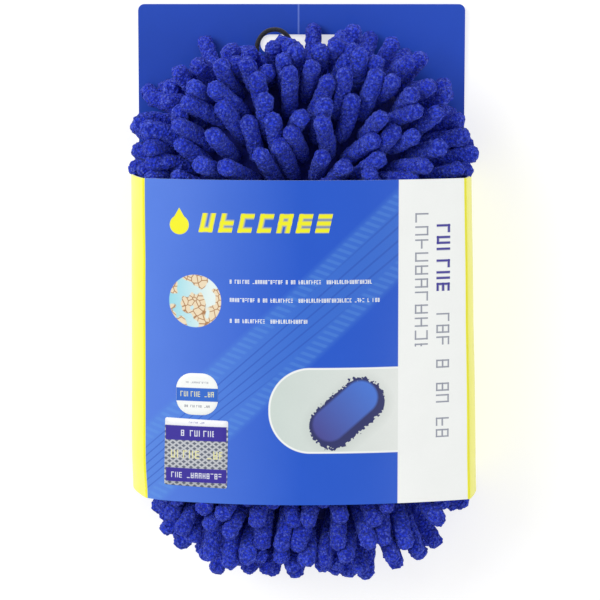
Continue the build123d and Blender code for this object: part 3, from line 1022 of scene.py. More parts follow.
# %% Microfibre back
back_low, back_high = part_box("microfibre_back")
BACK_GROW, BACK_ROUND = 1.4 * MM, 5.9 * MM
dark, light = (0.010, 0.016, 0.170, 1), (0.028, 0.045, 0.400, 1)
microfibre = cloth("microfibre", dark, light, 1500.0, 0.35, Roughness=0.85, Sheen_Weight=0.25)
rings = inward_rings(BACK_GROW - BACK_ROUND, back_low.z)[::-1]
rings += rounded_rings(BACK_GROW, back_low.z, back_high.z, BACK_ROUND, 0.0)
back = new_object("back_cloth", ring_wall("back_cloth", rings, close_first=True), microfibre)
wall = back.modifiers.new("cloth", "SOLIDIFY")
wall.thickness = 1.2 * MM
wall.offset = -1
back = plain_copy(back, "back_cloth")
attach(back, "mitt")
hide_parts("microfibre_back")
back_cut = cut_size(BACK_GROW, back_high.z - back_low.z - BACK_ROUND, BACK_ROUND)

# %% Chenille cap
# The cap holds the noodles; it is the dark cloth seen in the gaps between them.
cap_low, cap_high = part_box("chenille_ground_cloth")
COVER_GROW, COVER_ROUND = 1.3 * MM, 13.3 * MM
dark, light = (0.001, 0.005, 0.120, 1), (0.004, 0.012, 0.300, 1)
ground = cloth("chenille_ground", dark, light, 1100.0, 0.5, Roughness=0.95, Sheen_Weight=0.1)
rings = rounded_rings(COVER_GROW, cap_low.z, cap_high.z, 0.0, COVER_ROUND, steps=9)
rings += inward_rings(COVER_GROW - COVER_ROUND, cap_high.z)
cap = new_object("chenille_cap", ring_wall("chenille_cap", rings, close_last=True), ground)
wall = cap.modifiers.new("cloth", "SOLIDIFY")
wall.thickness = 1.1 * MM
wall.offset = -1
cap = plain_copy(cap, "chenille_cap")
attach(cap, "mitt")
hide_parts("chenille_ground_cloth")
cap_cut = cut_size(COVER_GROW, cap_high.z - cap_low.z - COVER_ROUND, COVER_ROUND)
for piece, cut_from in ((back, back_cut), (cap, cap_cut)):
    print(piece.name, "is cut from", [round(side / MM) for side in cut_from], "mm")
print("foam", len(foam.data.polygons), "back", len(back.data.polygons), "cap", len(cap.data.polygons))

# %% [markdown]
# ## Bound seam and its stitches
#
# The edges of the back and the cap meet in a folded tape, run through by a lockstitch, and two
# bar tacks hold the ends of the hanging cord. They are too many to place by hand, so each is a
# Geometry Nodes tree: a profile swept along the outline, and one stitch put along the same
# outline again and again. Modelled loops of thread would cost far more and never be seen.

# %% Geometry Nodes helpers


def new_tree(name, *inputs):
    """A Geometry Nodes tree with named inputs: (kind, name, start value). Gives its identifiers too."""
    tree = bpy.data.node_groups.new(name, "GeometryNodeTree")
    tree.interface.new_socket("Geometry", in_out="INPUT", socket_type="NodeSocketGeometry")
    sockets = {}
    for kind, label, start in inputs:
        socket = tree.interface.new_socket(label, in_out="INPUT", socket_type=f"NodeSocket{kind}")
        if start is not None:
            socket.default_value = start
        sockets[label] = socket.identifier
    tree.interface.new_socket("Geometry", in_out="OUTPUT", socket_type="NodeSocketGeometry")
    given = tree.nodes.new("NodeGroupInput").outputs
    result = tree.nodes.new("NodeGroupOutput").inputs
    return tree, Nodes(tree), given, result, sockets


def finish_tree(nodes, geometry, given, result):
    """Ends a tree: instances are made real, shaded smooth and given their material."""
    real = nodes.make("GeometryNodeRealizeInstances", {"Geometry": geometry})
    smooth = nodes.make("GeometryNodeSetShadeSmooth", {"Geometry": real})
    painted = nodes.make("GeometryNodeSetMaterial", {"Geometry": smooth, "Material": given["Material"]})
    nodes.tree.links.new(painted, result["Geometry"])


def grown(name, mesh, tree, sockets, **values):
    """A mesh run through a tree, as a plain mesh object."""
    start = bpy.data.objects.new(name, mesh)
    bpy.context.collection.objects.link(start)
    modifier = start.modifiers.new(tree.name, "NODES")
    modifier.node_group = tree
    for label, value in values.items():
        modifier[sockets[label.replace("_", " ")]] = value
    return plain_copy(start, name)


def closed_path(name, points):
    """A mesh of edges round points."""
    mesh = bpy.data.meshes.new(name)
    count = len(points)
    mesh.from_pydata(points, [(i, (i + 1) % count) for i in range(count)], [])
    return mesh


# %% Seam binding
tape_tree, nodes, given, result, tape_sockets = new_tree(
    "folded tape",
    ("Float", "Width", 0.005),
    ("Float", "Thickness", 0.0024),
    ("Float", "Edge round", 0.0008),
    ("Float", "Pucker", 0.0001),
    ("Material", "Material", None),
)
line = nodes.make("GeometryNodeMeshToCurve", {"Mesh": given["Geometry"]})
line = nodes.make("GeometryNodeSetCurveNormal", {"Curve": line}, mode="Z_UP")
line = nodes.make("GeometryNodeResampleCurve", {"Curve": line, "Count": 420})
profile = nodes.make(
    "GeometryNodeCurvePrimitiveQuadrilateral", {"Width": given["Width"], "Height": given["Thickness"]}
)
profile = nodes.make(
    "GeometryNodeFilletCurve", {"Curve": profile, "Radius": given["Edge round"], "Count": 3}, mode="POLY"
)
tape = nodes.make("GeometryNodeCurveToMesh", {"Curve": line, "Profile Curve": profile})
ripple = nodes.make("ShaderNodeTexNoise", {"Scale": 260.0, "Detail": 1.0}, noise_dimensions="3D")
push = nodes.math("MULTIPLY", nodes.math("SUBTRACT", ripple, 0.5), given["Pucker"])
normal = nodes.make("GeometryNodeInputNormal")
offset = nodes.make("ShaderNodeVectorMath", {0: normal, "Scale": push}, operation="SCALE")
tape = nodes.make("GeometryNodeSetPosition", {"Geometry": tape, "Offset": offset})
finish_tree(nodes, tape, given, result)

dark, light = (0.006, 0.012, 0.130, 1), (0.020, 0.040, 0.330, 1)
binding_material = cloth("binding_tape", dark, light, 1300.0, 0.4, Roughness=0.8, Sheen_Weight=0.2)
TAPE_WIDTH, TAPE_THICK, TAPE_OUT = 4.8 * MM, 2.4 * MM, 6.3 * MM
FINE = {"across": 12, "along": 36, "turn": 16}
seam_path = closed_path("seam_path", outline(TAPE_OUT - TAPE_WIDTH / 2, seam_z, **FINE))
binding = grown(
    "edge_binding",
    seam_path,
    tape_tree,
    tape_sockets,
    Width=TAPE_WIDTH,
    Thickness=TAPE_THICK,
    Edge_round=0.8 * MM,
    Pucker=0.0002,
    Material=binding_material,
)
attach(binding, "mitt")
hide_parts("seam_binding")

# %% [markdown]
# ## Stitches and bar tacks
#
# A running stitch holds the tape, and a short dense row of stitches, a bar tack, holds each
# end of the hanging cord. One bead of thread is put along the path at an even pitch, first
# long and spaced, then short and crowded, so one tree makes both.

# %% Stitches and bar tacks
stitch_tree, nodes, given, result, stitch_sockets = new_tree(
    "stitches",
    ("Float", "Length", 0.0032),
    ("Float", "Width", 0.0007),
    ("Float", "Pitch", 0.006),
    ("Material", "Material", None),
)
line = nodes.make("GeometryNodeMeshToCurve", {"Mesh": given["Geometry"]})
places = nodes.make("GeometryNodeCurveToPoints", {"Curve": line, "Length": given["Pitch"]}, mode="LENGTH")
half_length = nodes.math("MULTIPLY", given["Length"], 0.5)
half_width = nodes.math("MULTIPLY", given["Width"], 0.5)
bead = nodes.make("GeometryNodeMeshUVSphere", {"Segments": 10, "Rings": 8, "Radius": 1.0})
turn = nodes.make("FunctionNodeAlignRotationToVector", {"Vector": places.node.outputs["Tangent"]}, axis="X")
size = nodes.make("ShaderNodeCombineXYZ", {"X": half_length, "Y": half_width, "Z": half_width})
thread = nodes.make(
    "GeometryNodeInstanceOnPoints", {"Points": places, "Instance": bead, "Rotation": turn, "Scale": size}
)
finish_tree(nodes, thread, given, result)

thread_material, nodes, shader = new_material("seam_thread", Roughness=0.5, Sheen_Weight=0.15)
place = nodes.make("ShaderNodeTexCoord", out="Object")
twist_size = {"Vector": place, "Scale": 900.0}
twist = nodes.make("ShaderNodeTexWave", twist_size, out="Fac", bands_direction="DIAGONAL")
colour = nodes.mix(twist, (0.010, 0.016, 0.140, 1), (0.022, 0.034, 0.260, 1))
feed(thread_material, shader, Base_Color=colour)

STITCH_INSET = 1.7 * MM
stitch_z = binding_high.z + 0.05 * MM
stitch_path = closed_path("stitch_path", outline(COVER_GROW + STITCH_INSET, stitch_z, **FINE))
stitches = grown(
    "seam_stitching",
    stitch_path,
    stitch_tree,
    stitch_sockets,
    Length=3.2 * MM,
    Width=0.7 * MM,
    Pitch=6.0 * MM,
    Material=thread_material,
)
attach(stitches, "mitt")
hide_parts("seam_stitches")

tack_low, tack_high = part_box("loop_bar_tacks")
tack_y = (tack_low.y + tack_high.y) / 2
TACK_HALF = 2.1 * MM
tack_points, tack_edges = [], []
for middle_x in (loop_points[0].x, loop_points[-1].x):
    first = len(tack_points)
    left_x, right_x = middle_x - TACK_HALF, middle_x + TACK_HALF
    tack_points += [(left_x, tack_y, tack_low.z), (right_x, tack_y, tack_low.z)]
    tack_edges.append((first, first + 1))
tack_path = bpy.data.meshes.new("tack_path")
tack_path.from_pydata(tack_points, tack_edges, [])
tacks = grown(
    "bar_tacks",
    tack_path,
    stitch_tree,
    stitch_sockets,
    Length=0.55 * MM,
    Width=1.3 * MM,
    Pitch=0.42 * MM,
    Material=thread_material,
)
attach(tacks, "mitt")
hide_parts("loop_bar_tacks")
for made in (binding, stitches, tacks):
    heights = [vertex.co.z / MM for vertex in made.data.vertices]
    print(made.name, len(made.data.polygons), "faces, up to", round(max(heights), 1), "mm")

# %% [markdown]
# ## Chenille noodles
#
# Each noodle is a soft finger of cut pile, sewn to the cap at one end. Nearly four hundred of
# them grow in staggered rows: up on the face, outwards on the sides, combed towards the lower
# end below a parting and fanned out above it. They could be hairs of a particle system, but
# real noodles are thick and push each other aside, so each starts as a chain of seven points
# on its combed line. The roots come first, spaced along rings of the cap's own outline.

# %% Noodles: roots
NOODLE_R, CHAIN = 3.25 * MM, 7
ROWS, FIRST_ROW, ROW_PITCH, NOODLE_PITCH = 9, 14.6 * MM, 7.8 * MM, 8.8 * MM
MIDDLE_LINE_HALF, ROOT_SCATTER = 39 * MM, 0.5 * MM
random = np.random.default_rng(7)
cap_top = cap_high.z


def level_distance(p):
    """Level distance of points from the cap's outline, negative inside it."""
    grow_x, grow_y = FOAM_HALF_X + COVER_GROW, FOAM_HALF_Y + COVER_GROW
    corner = FOAM_CORNER + COVER_GROW
    qx = np.abs(p[:, 0]) - grow_x + corner
    qy = np.abs(p[:, 1] - MITT_Y) - grow_y + corner
    return np.hypot(np.maximum(qx, 0), np.maximum(qy, 0)) + np.minimum(np.maximum(qx, qy), 0) - corner


def cap_distance(p):
    """Distance of points from the cap's surface, negative inside it."""
    w = np.stack([level_distance(p) + COVER_ROUND, p[:, 2] - cap_top + COVER_ROUND], axis=1)
    return np.minimum(w.max(axis=1), 0) + np.linalg.norm(np.maximum(w, 0), axis=1) - COVER_ROUND


def cap_normal(p):
    """Outward direction from the cap at points."""
    step = 0.05 * MM
    slope = [cap_distance(p + step * way) - cap_distance(p - step * way) for way in np.eye(3)]
    slope = np.stack(slope, axis=1)
    return slope / np.maximum(np.linalg.norm(slope, axis=1, keepdims=True), 1e-12)


def tape_push(p, gap):
    """How points are pushed off the bound seam, out of it or over it."""
    half_width, half_height = 2.5 * MM, 1.5 * MM
    from_tape = np.stack([level_distance(p) - half_width, p[:, 2] - seam_z], axis=1)
    beyond = np.maximum(np.abs(from_tape) - np.array([half_width, half_height]), 0)
    distance = np.maximum(np.linalg.norm(beyond, axis=1), 1e-6)
    way = np.sign(from_tape) * beyond / distance[:, None]
    way[:, 1] = np.abs(way[:, 1]) + (distance < 1e-5)
    at_wall = p.copy()
    at_wall[:, 2] = seam_z + 4 * MM
    push = cap_normal(at_wall) * way[:, :1]
    push[:, 2] = way[:, 1]
    return np.maximum(gap - distance, 0)[:, None] * push


def spaced(points, pitch, phase):
    """Evenly spaced points along a closed outline."""
    closed = np.array(points + points[:1])
    runs = np.linalg.norm(np.diff(closed, axis=0), axis=1)
    reach = np.concatenate([[0], np.cumsum(runs)])
    count = max(1, round(reach[-1] / pitch))
    at = (np.arange(count) + phase) / count * reach[-1]
    return np.stack([np.interp(at, reach, closed[:, axis]) for axis in range(3)], axis=1)


root_rows = []
wall_top = cap_top - COVER_ROUND
arc_length = COVER_ROUND * math.pi / 2
for row in range(ROWS):
    reach = FIRST_ROW + row * ROW_PITCH
    if reach < wall_top:
        grow, z = 0.0, reach
    elif reach < wall_top + arc_length:
        turn = (reach - wall_top) / COVER_ROUND
        grow, z = -COVER_ROUND * (1 - math.cos(turn)), wall_top + COVER_ROUND * math.sin(turn)
    else:
        grow, z = -COVER_ROUND - (reach - wall_top - arc_length), cap_top
    if FOAM_HALF_X + COVER_GROW + grow > 4 * MM:
        root_rows.append(spaced(outline(COVER_GROW + grow, z), NOODLE_PITCH, 0.5 * (row % 2)))
middle_line = np.linspace(-MIDDLE_LINE_HALF, MIDDLE_LINE_HALF, 9)
root_rows.append(np.stack([0 * middle_line, middle_line + MITT_Y, 0 * middle_line + cap_top], axis=1))
roots = np.concatenate(root_rows)
roots += random.normal(0, ROOT_SCATTER, roots.shape)
roots -= cap_distance(roots)[:, None] * cap_normal(roots)
print("noodles", len(roots), "in rows of", [len(row) for row in root_rows])

# %% [markdown]
# ## Combed lines
#
# A noodle stands out from the cloth and leans the way it was combed. Near the pack's ends it
# has little room before the outline that all tips keep to, so there it stands up more. The
# rows lowest on the sides droop instead, towards the table.

# %% Noodles: combed lines
PARTING_Y, PARTING_SOFT = 30 * MM, 16 * MM
LEAN_ABOVE, LEAN_BELOW, AIM_SCATTER = 0.95, 0.85, 0.17
SHORTEST, LONGEST = 21.5 * MM, 25.5 * MM
out = cap_normal(roots)
x, y = roots[:, 0], roots[:, 1]
fan = np.stack([x, y - PARTING_Y + 3 * MM], axis=1)
fan /= np.maximum(np.linalg.norm(fan, axis=1, keepdims=True), 4 * MM)
down = np.stack([0.42 * x / (50 * MM), -np.ones_like(x)], axis=1)
share = np.clip((y - PARTING_Y) / PARTING_SOFT + 0.5, 0, 1)[:, None]
comb = share * fan + (1 - share) * down
comb = np.concatenate([comb, np.zeros((len(roots), 1))], axis=1)
lean = np.where(y > PARTING_Y, LEAN_ABOVE, LEAN_BELOW)[:, None]
aim = out + lean * comb + random.normal(0, AIM_SCATTER, roots.shape)
noodle_lengths = random.uniform(SHORTEST, LONGEST, len(roots))
link = (noodle_lengths - NOODLE_R) / (CHAIN - 1)


# the outline of the tips: half an ellipse at the header end, a rounded block at the lower end
ELLIPSE_FROM_Y, ELLIPSE_HALF_X, ELLIPSE_HALF_Y = 44 * MM, 70 * MM, 57.5 * MM
TIPS_LOW_Y, TIPS_HALF_X, TIPS_CORNER, TIPS_SHIFT = -110 * MM, 63 * MM, 28 * MM, 5.5 * MM


def room(p):
    """How far points are inside the outline that the tips keep to, seen from above."""
    x, y = p[:, 0], p[:, 1]
    side_x = np.abs(x - TIPS_SHIFT * np.clip(-y / (60 * MM), 0, 1)) - (TIPS_HALF_X - TIPS_CORNER)
    beyond_y = np.maximum(TIPS_LOW_Y + TIPS_CORNER - y, 0)
    lower = TIPS_CORNER - np.hypot(np.maximum(side_x, 0), beyond_y)
    from_middle = np.hypot(x / ELLIPSE_HALF_X, (y - ELLIPSE_FROM_Y) / ELLIPSE_HALF_Y)
    upper = (1 - from_middle) * 60 * MM
    return np.where(y > ELLIPSE_FROM_Y, upper, lower)


# how far each tip may pass the outline; beside the hanging cord it stays well inside
SHORT_OF, PAST, AT_LOOP = -2.5 * MM, 5.0 * MM, -4.5 * MM
slack = random.uniform(SHORT_OF, PAST, len(roots))
at_loop = (np.abs(roots[:, 0] + 10 * MM) < 13 * MM) & (roots[:, 1] > 60 * MM)
slack = np.where(at_loop, AT_LOOP, slack)

# how much of each noodle may lie level before it meets the outline
level_aim = aim[:, :2] / np.maximum(np.linalg.norm(aim[:, :2], axis=1, keepdims=True), 1e-9)
level_room = np.zeros(len(roots))
for step in np.arange(1, 27) * MM:
    ahead = roots[:, :2] + step * level_aim
    level_room = np.where(room(ahead) > NOODLE_R - slack, step, level_room)
level_room -= 0.18 * (roots[:, 2] - roots[:, 2].min())
level_share = np.clip(level_room / (noodle_lengths - NOODLE_R), 0.1, 1)
FIRST_ROW_TOP, SECOND_ROW_TOP, LOWER_END_Y = 18 * MM, 26 * MM, -62 * MM
upper_rows = roots[:, 2] > SECOND_ROW_TOP
level_share *= np.where((roots[:, 1] < LOWER_END_Y) & upper_rows, 0.8, 1.0)
level_now = np.linalg.norm(aim[:, :2], axis=1) / np.linalg.norm(aim, axis=1)
rise = np.sqrt(1 - np.minimum(level_now, level_share) ** 2)
rise = np.where(roots[:, 2] < FIRST_ROW_TOP, -np.clip(rise, 0.1, 0.45), rise)
second_row = (roots[:, 2] > FIRST_ROW_TOP) & (roots[:, 2] < SECOND_ROW_TOP)
rise = np.where(second_row, np.minimum(rise, random.uniform(0.0, 0.6, len(roots))), rise)
aim = np.concatenate([level_aim * np.sqrt(1 - rise**2)[:, None], rise[:, None]], axis=1)

# each noodle also curls a little, sideways to its aim and most at its tip
CURL_SCATTER, CURL_REACH = 0.35, 1.6
curl = random.normal(0, CURL_SCATTER, roots.shape)
curl -= (curl * aim).sum(axis=1, keepdims=True) * aim
steps = np.arange(CHAIN)[None, :, None]
bend = curl[:, None, :] * (steps / (CHAIN - 1)) ** 2 * CURL_REACH
shape = aim[:, None, :] * steps + bend
rest = roots[:, None, :] + link[:, None, None] * shape
chain = rest.copy()

# %% [markdown]
# ## Settling the noodles
#
# The chains now run through each other. Each round pushes them apart, out of the cap, the
# seam, the card and the table, and pulls them back to their lines, then gives every link its
# length again. A rigid body simulation could do this, but a few hundred soft fingers would
# take it minutes, and this small solver takes seconds and gives the same result every time.

# %% Noodles: what they are pushed off
wall_line = np.array(section)
seg_a, seg_b = wall_line[:-1], wall_line[1:]
seg = seg_b - seg_a
seg_length = np.linalg.norm(seg, axis=1, keepdims=True)
seg_in = np.stack([seg[:, 1], -seg[:, 0]], axis=1) / seg_length
centre_in = ((np.array([0, 30 * MM]) - seg_a) * seg_in).sum(axis=1)
seg_in *= np.sign(centre_in)[:, None]
above_back = np.array([not name.startswith("back") for name in panel_of[1:]])
seg_a, seg, seg_length, seg_in = (v[above_back] for v in (seg_a, seg, seg_length, seg_in))
loop_xyz = np.array([tuple(p) for p in loop_points])


def card_push(p, gap):
    """How points inside the sleeve are pushed off its wall."""
    flat = p[:, [0, 2]]
    rel = flat[:, None, :] - seg_a[None]
    t = np.clip((rel * seg[None]).sum(axis=2) / (seg_length[None, :, 0] ** 2), 0, 1)
    near = rel - t[..., None] * seg[None]
    nearest = np.linalg.norm(near, axis=2).argmin(axis=1)
    rows = np.arange(len(p))
    depth = (near[rows, nearest] * seg_in[nearest]).sum(axis=1)
    from_corner = ((p[:, 0] + 60 * MM) / (9 * MM)) ** 2 + ((p[:, 1] - sleeve_low) / (12 * MM)) ** 2
    dent = 3.2 * MM * np.exp(-from_corner)
    lack = np.maximum(gap + dent - depth, 0)
    edge = np.minimum(p[:, 1] - sleeve_low, sleeve_top - p[:, 1])
    lack *= np.clip(1 + edge / (2.2 * MM), 0, 1)
    push = np.zeros_like(p)
    push[:, [0, 2]] = lack[:, None] * seg_in[nearest]
    return push


def neighbours(p, reach):
    """Pairs of points of different chains that are near each other."""
    first, second = [], []
    owner = np.arange(len(p)) // CHAIN
    for start in range(0, len(p), 400):
        block_points = p[start : start + 400]
        d2 = ((block_points[:, None, :] - p[None]) ** 2).sum(axis=2)
        i, j = np.nonzero(d2 < reach**2)
        keep = (owner[i + start] != owner[j]) & (i + start < j)
        first.append(i[keep] + start)
        second.append(j[keep])
    return np.concatenate(first), np.concatenate(second)


near_root = np.tile(np.arange(CHAIN) < 2, len(chain))
point_slack = np.repeat(slack, CHAIN)
floor_low = 1.3 * MM + NOODLE_R
CARD_GAP, LOOP_GAP = 0.75 * MM, 1.0 * MM
SQUASHED_ACROSS, FIRMNESS, DRAWN_IN = 1.93 * NOODLE_R, 1.3, 0.35


def apart(flat, i, j):
    """Pairs of points that are too near, pushed off each other."""
    gap = flat[j] - flat[i]
    distance = np.linalg.norm(gap, axis=1)
    lack = np.maximum(SQUASHED_ACROSS - distance, 0)
    push = gap / np.maximum(distance, 1e-6)[:, None] * (0.5 * lack)[:, None]
    move = np.zeros_like(flat)
    hits = np.zeros(len(flat))
    np.add.at(move, i, -push)
    np.add.at(move, j, push)
    np.add.at(hits, i, lack > 0)
    np.add.at(hits, j, lack > 0)
    return flat + FIRMNESS * move / np.maximum(hits, 1)[:, None]


def clear_of_mitt_and_card(flat):
    """Points pushed out of the cap, the sleeve's wall, the tape and the table."""
    into = np.where(near_root, 0, np.maximum(NOODLE_R - cap_distance(flat), 0))
    flat = flat + into[:, None] * cap_normal(flat)
    flat = flat + card_push(flat, NOODLE_R + CARD / 2 + CARD_GAP)
    flat = flat + np.where(near_root, 0, 1)[:, None] * tape_push(flat, NOODLE_R)
    flat[:, 2] = np.where(near_root, flat[:, 2], np.maximum(flat[:, 2], floor_low))
    return flat


def within_outline(flat):
    """Points past the outline of the tips, drawn part of the way back in."""
    step = 0.1 * MM
    room_now = room(flat)
    inward = np.stack([room(flat + step * way) - room_now for way in np.eye(3)[:2]], axis=1) / step
    past = np.maximum(NOODLE_R - room_now - point_slack, 0)
    flat[:, :2] += DRAWN_IN * past[:, None] * inward
    return flat


def clear_of_loop(flat):
    """Points lifted off the hanging cord."""
    away = flat[:, None, :] - loop_xyz[None]
    gaps = np.linalg.norm(away, axis=2)
    nearest = (np.arange(len(flat)), gaps.argmin(axis=1))
    lack = np.maximum(NOODLE_R + CORD_D + LOOP_GAP - gaps[nearest], 0)
    lift = away[nearest] / np.maximum(gaps[nearest], 1e-6)[:, None]
    lift[:, 2] = np.abs(lift[:, 2]) + 0.5
    return flat + 0.6 * lack[:, None] * lift


# %% Noodles: settling
ROUNDS = 160
PULL, STRAIGHTEN, ROOT_HOLD = 0.05, 0.12, 0.35
for round_number in range(ROUNDS):
    flat = chain.reshape(-1, 3)
    if round_number % 8 == 0:
        i, j = neighbours(flat, 2 * NOODLE_R + 2.5 * MM)
    chain = apart(flat, i, j).reshape(chain.shape)
    pull = PULL * max(0.15, 1 - round_number / (0.8 * ROUNDS))
    chain += pull * (rest - chain)
    # the first two points stay on the line they are sewn on
    chain[:, 0] = roots
    chain[:, 1] += ROOT_HOLD * (roots + link[:, None] * (0.6 * out + 0.4 * aim) - chain[:, 1])
    for number in range(1, CHAIN - 1):
        middle = (chain[:, number - 1] + chain[:, number + 1]) / 2
        chain[:, number] += STRAIGHTEN * (middle - chain[:, number])
    flat = clear_of_mitt_and_card(chain.reshape(-1, 3))
    flat = clear_of_loop(within_outline(flat))
    chain = flat.reshape(chain.shape)
    for number in range(1, CHAIN):
        run = chain[:, number] - chain[:, number - 1]
        run *= (link / np.maximum(np.linalg.norm(run, axis=1), 1e-6))[:, None]
        chain[:, number] = chain[:, number - 1] + run
reach = chain.reshape(-1, 3)
print("settled between", (reach.min(axis=0) / MM).round(1), "and", (reach.max(axis=0) / MM).round(1))

# %% [markdown]
# ## Noodles swept along their chains
#
# Each settled chain becomes a smooth line with a thickness at every point: narrow where it is
# sewn on, round at the tip. A Geometry Nodes tree sweeps a ring along the lines and raises
# small uneven tufts. Copies of a few finished noodles would be lighter, but no two real ones
# bend alike, and they are what is seen of the mitt.

# %% Noodles: shaped splines
RINGS, SIDES = 36, 24
TIP_SHARE = 0.14
even = np.linspace(0, 1, 24)[:-1] * (1 - TIP_SHARE)
tip = 1 - TIP_SHARE * np.cos(np.linspace(0, math.pi / 2, RINGS - len(even)))
stations = np.concatenate([even, tip])


def smooth_line(points, at):
    """A Catmull-Rom line through the chain's points, read at shares of its length."""
    before, beyond_last = 2 * points[:1] - points[1:2], 2 * points[-1:] - points[-2:-1]
    guides = np.concatenate([before, points, beyond_last])
    place = np.clip(at * (CHAIN - 1), 0, CHAIN - 1 - 1e-9)
    k = place.astype(int)
    t = (place - k)[:, None]
    p0, p1, p2, p3 = (guides[k + n] for n in range(4))
    square, cube = 2 * p0 - 5 * p1 + 4 * p2 - p3, 3 * p1 - p0 - 3 * p2 + p3
    return 0.5 * (2 * p1 + (p2 - p0) * t + square * t**2 + cube * t**3)


def noodle_points(number):
    """Centre line and thickness of one noodle."""
    points = chain[number]
    length, straight = noodle_lengths[number], noodle_lengths[number] - NOODLE_R
    tip_point = points[-1] + (points[-1] - points[-2]) / link[number] * NOODLE_R
    line = smooth_line(points, np.clip(stations * length / straight, 0, 1))
    beyond_end = np.clip((stations * length - straight) / NOODLE_R, 0, 1)
    line = line + beyond_end[:, None] * (tip_point - points[-1])[None]
    thick = NOODLE_R * fatness[number] * np.sqrt(np.clip(1 - beyond_end**2, 0.0004, 1))
    thick = thick * (0.86 + 0.14 * np.clip(stations / 0.3, 0, 1))
    return line, thick


THINNEST, FATTEST = 0.93, 1.05
fatness = random.uniform(THINNEST, FATTEST, len(roots))
tones = random.uniform(0, 1, len(roots))
# the noodles are kept in four pieces, so that no mesh is too large
by_region = {"noodles_header_end": y > 38 * MM, "noodles_lower_end": y < -58 * MM}
middle_rows = ~(by_region["noodles_header_end"] | by_region["noodles_lower_end"])
by_region["noodles_middle_left"] = middle_rows & (x < 0)
by_region["noodles_middle_right"] = middle_rows & (x >= 0)

# %% Noodles: tree
noodle_tree, nodes, given, result, noodle_sockets = new_tree(
    "noodles",
    ("Int", "Sides", 24),
    ("Float", "Tufts", 0.0011),
    ("Float", "Tufts a metre", 820.0),
    ("Int", "Seed", 3),
    ("Material", "Material", None),
)
line = nodes.make("GeometryNodeMeshToCurve", {"Mesh": given["Geometry"]})
ring = nodes.make("GeometryNodeCurvePrimitiveCircle", {"Resolution": given["Sides"], "Radius": 1.0})
index = nodes.make("GeometryNodeInputIndex")
ring = nodes.make("GeometryNodeStoreNamedAttribute", {"Geometry": ring, "Name": "around", "Value": index})
thick = nodes.make("GeometryNodeInputNamedAttribute", {"Name": "thickness"})
swept = nodes.make(
    "GeometryNodeCurveToMesh", {"Curve": line, "Profile Curve": ring, "Scale": thick, "Fill Caps": True}
)
coarse = {"W": given["Seed"], "Scale": 330.0, "Detail": 1.0}
lumps = nodes.make("ShaderNodeTexNoise", coarse, noise_dimensions="4D")
tufts = nodes.make(
    "ShaderNodeTexVoronoi",
    {"W": given["Seed"], "Scale": given["Tufts a metre"]},
    out="Distance",
    voronoi_dimensions="4D",
)
grain = nodes.math("SUBTRACT", nodes.math("MULTIPLY", lumps, 0.9), tufts)
push = nodes.math("MULTIPLY", nodes.math("ADD", grain, 0.15), given["Tufts"])
offset = nodes.make(
    "ShaderNodeVectorMath", {0: nodes.make("GeometryNodeInputNormal"), "Scale": push}, operation="SCALE"
)
swept = nodes.make("GeometryNodeSetPosition", {"Geometry": swept, "Offset": offset})
finish_tree(nodes, swept, given, result)

# %% [markdown]
# ## Noodle material
#
# Chenille yarn is a mass of fine cut loops. The light catches pale curls on top and leaves dark blue
# pits between them, and the root is darker still, where no light gets in. Hair strands would show
# this best, but far too many are needed, so cells, curls and fuzz are mixed in the bump, and the
# same patterns paint these highlights and this shade into the colour.

# %% Noodles: material
chenille, nodes, shader = new_material(
    "chenille", Roughness=0.9, Specular_IOR_Level=0.25, Sheen_Weight=0.3, Sheen_Roughness=0.4
)
shader.inputs["Sheen Tint"].default_value = (0.30, 0.40, 1.0, 1)
place = nodes.make("ShaderNodeTexCoord", out="Object")
nubs = nodes.make("ShaderNodeTexVoronoi", {"Vector": place, "Scale": 880.0}, out="Distance")
fuzz = nodes.make("ShaderNodeTexNoise", {"Vector": place, "Scale": 2200.0, "Detail": 2})
wave_sizes = {"Vector": place, "Scale": 640.0, "Detail": 1.5, "Distortion": 0.5}
waves = nodes.make("ShaderNodeTexNoise", wave_sizes)
crinkle = nodes.math("ABSOLUTE", nodes.math("SUBTRACT", waves, 0.5))
curls = nodes.ramp(crinkle, 0.0, 0.060, 1.0, 0.0)
tone = nodes.make("ShaderNodeAttribute", out="Fac", attribute_name="tone")
along = nodes.make("ShaderNodeAttribute", out="Fac", attribute_name="along")
uneven = nodes.math("ADD", nodes.math("MULTIPLY", fuzz, 0.5), nodes.math("SUBTRACT", nubs, 0.25))
base = nodes.mix(tone, (0.0190, 0.0450, 0.740, 1), (0.0310, 0.0720, 0.920, 1))
# painted shade: the pits between the nubs are darkened
base = nodes.mix(nodes.ramp(uneven, 0.36, 0.70, 0.0, 0.75), base, (0.001, 0.008, 0.300, 1))
# painted highlight: pale curls where the loops catch the light
painted_curl_highlight = nodes.math("MULTIPLY", curls, nodes.ramp(nubs, 0.25, 0.75, 0.85, 0.10))
base = nodes.mix(painted_curl_highlight, base, (0.180, 0.255, 1.000, 1))
# painted shade: darker towards the root, where the noodles shade each other
base = nodes.mix(nodes.ramp(along, 0.0, 0.45, 0.6, 0.0), base, (0.001, 0.014, 0.420, 1))
height = nodes.weighted(nubs, -1.0, fuzz, 0.4)
height = nodes.math("ADD", height, nodes.math("MULTIPLY", curls, 0.25))
bump = nodes.make("ShaderNodeBump", {"Height": height, "Strength": 1.0, "Distance": 0.0013})
feed(chenille, shader, Base_Color=base, Normal=bump)

# %% Noodles: made


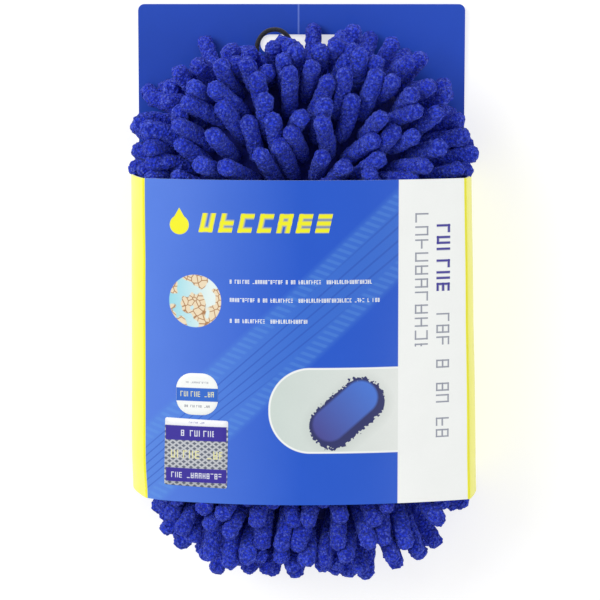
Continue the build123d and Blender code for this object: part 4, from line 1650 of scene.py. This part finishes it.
def lay_flat(mesh, count):
    """A UV map with one cell for each noodle, split along its underside."""
    vertex = np.empty(len(mesh.loops), np.int32)
    mesh.loops.foreach_get("vertex_index", vertex)
    read = {}
    for label in ("along", "around", "cell"):
        values = np.empty(len(mesh.vertices), np.float32)
        mesh.attributes[label].data.foreach_get("value", values)
        read[label] = values[vertex]
    starts = np.empty(len(mesh.polygons), np.int32)
    totals = np.empty(len(mesh.polygons), np.int32)
    mesh.polygons.foreach_get("loop_start", starts)
    mesh.polygons.foreach_get("loop_total", totals)
    last_strip = (np.maximum.reduceat(read["around"], starts) > SIDES - 1.5) & (totals == 4)
    last_strip &= np.minimum.reduceat(read["around"], starts) < 0.5
    wraps = np.repeat(last_strip, totals) & (read["around"] < 0.5)
    around = np.where(wraps, SIDES, read["around"]) / SIDES
    columns = math.ceil(math.sqrt(count))
    lines = math.ceil(count / columns)
    cell = np.round(read["cell"])
    u = (cell % columns + 0.03 + 0.94 * around) / columns
    v = (cell // columns + 0.03 + 0.94 * read["along"]) / lines
    layer = mesh.uv_layers.new(name="OFBake")
    layer.data.foreach_set("uv", np.stack([u, v], axis=1).astype(np.float32).ravel())
    for label in ("thickness", "around", "cell"):
        mesh.attributes.remove(mesh.attributes[label])


noodle_objects = []
for name, chosen in by_region.items():
    numbers = np.nonzero(chosen)[0]
    points, thick = (np.concatenate(v) for v in zip(*(noodle_points(n) for n in numbers)))
    mesh = bpy.data.meshes.new(name)
    starts = np.arange(len(numbers))[:, None] * RINGS + np.arange(RINGS - 1)[None]
    edges = np.stack([starts.ravel(), starts.ravel() + 1], axis=1)
    mesh.from_pydata(points.tolist(), edges.tolist(), [])
    columns = {
        "thickness": thick,
        "tone": np.repeat(tones[numbers], RINGS),
        "along": np.tile(stations, len(numbers)),
        "cell": np.repeat(np.arange(len(numbers)), RINGS),
    }
    for label, values in columns.items():
        mesh.attributes.new(label, "FLOAT", "POINT").data.foreach_set("value", values.astype(np.float32))
    values = {"Sides": SIDES, "Tufts": 1.1 * MM, "Tufts_a_metre": 820.0, "Seed": 3, "Material": chenille}
    made = grown(name, mesh, noodle_tree, noodle_sockets, **values)
    lay_flat(made.data, len(numbers))
    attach(made, "mitt")
    noodle_objects.append(made)
    made.data.calc_loop_triangles()
    print(name, len(numbers), "noodles", len(made.data.loop_triangles), "triangles")
for made in noodle_objects:
    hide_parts("chenille_pile")
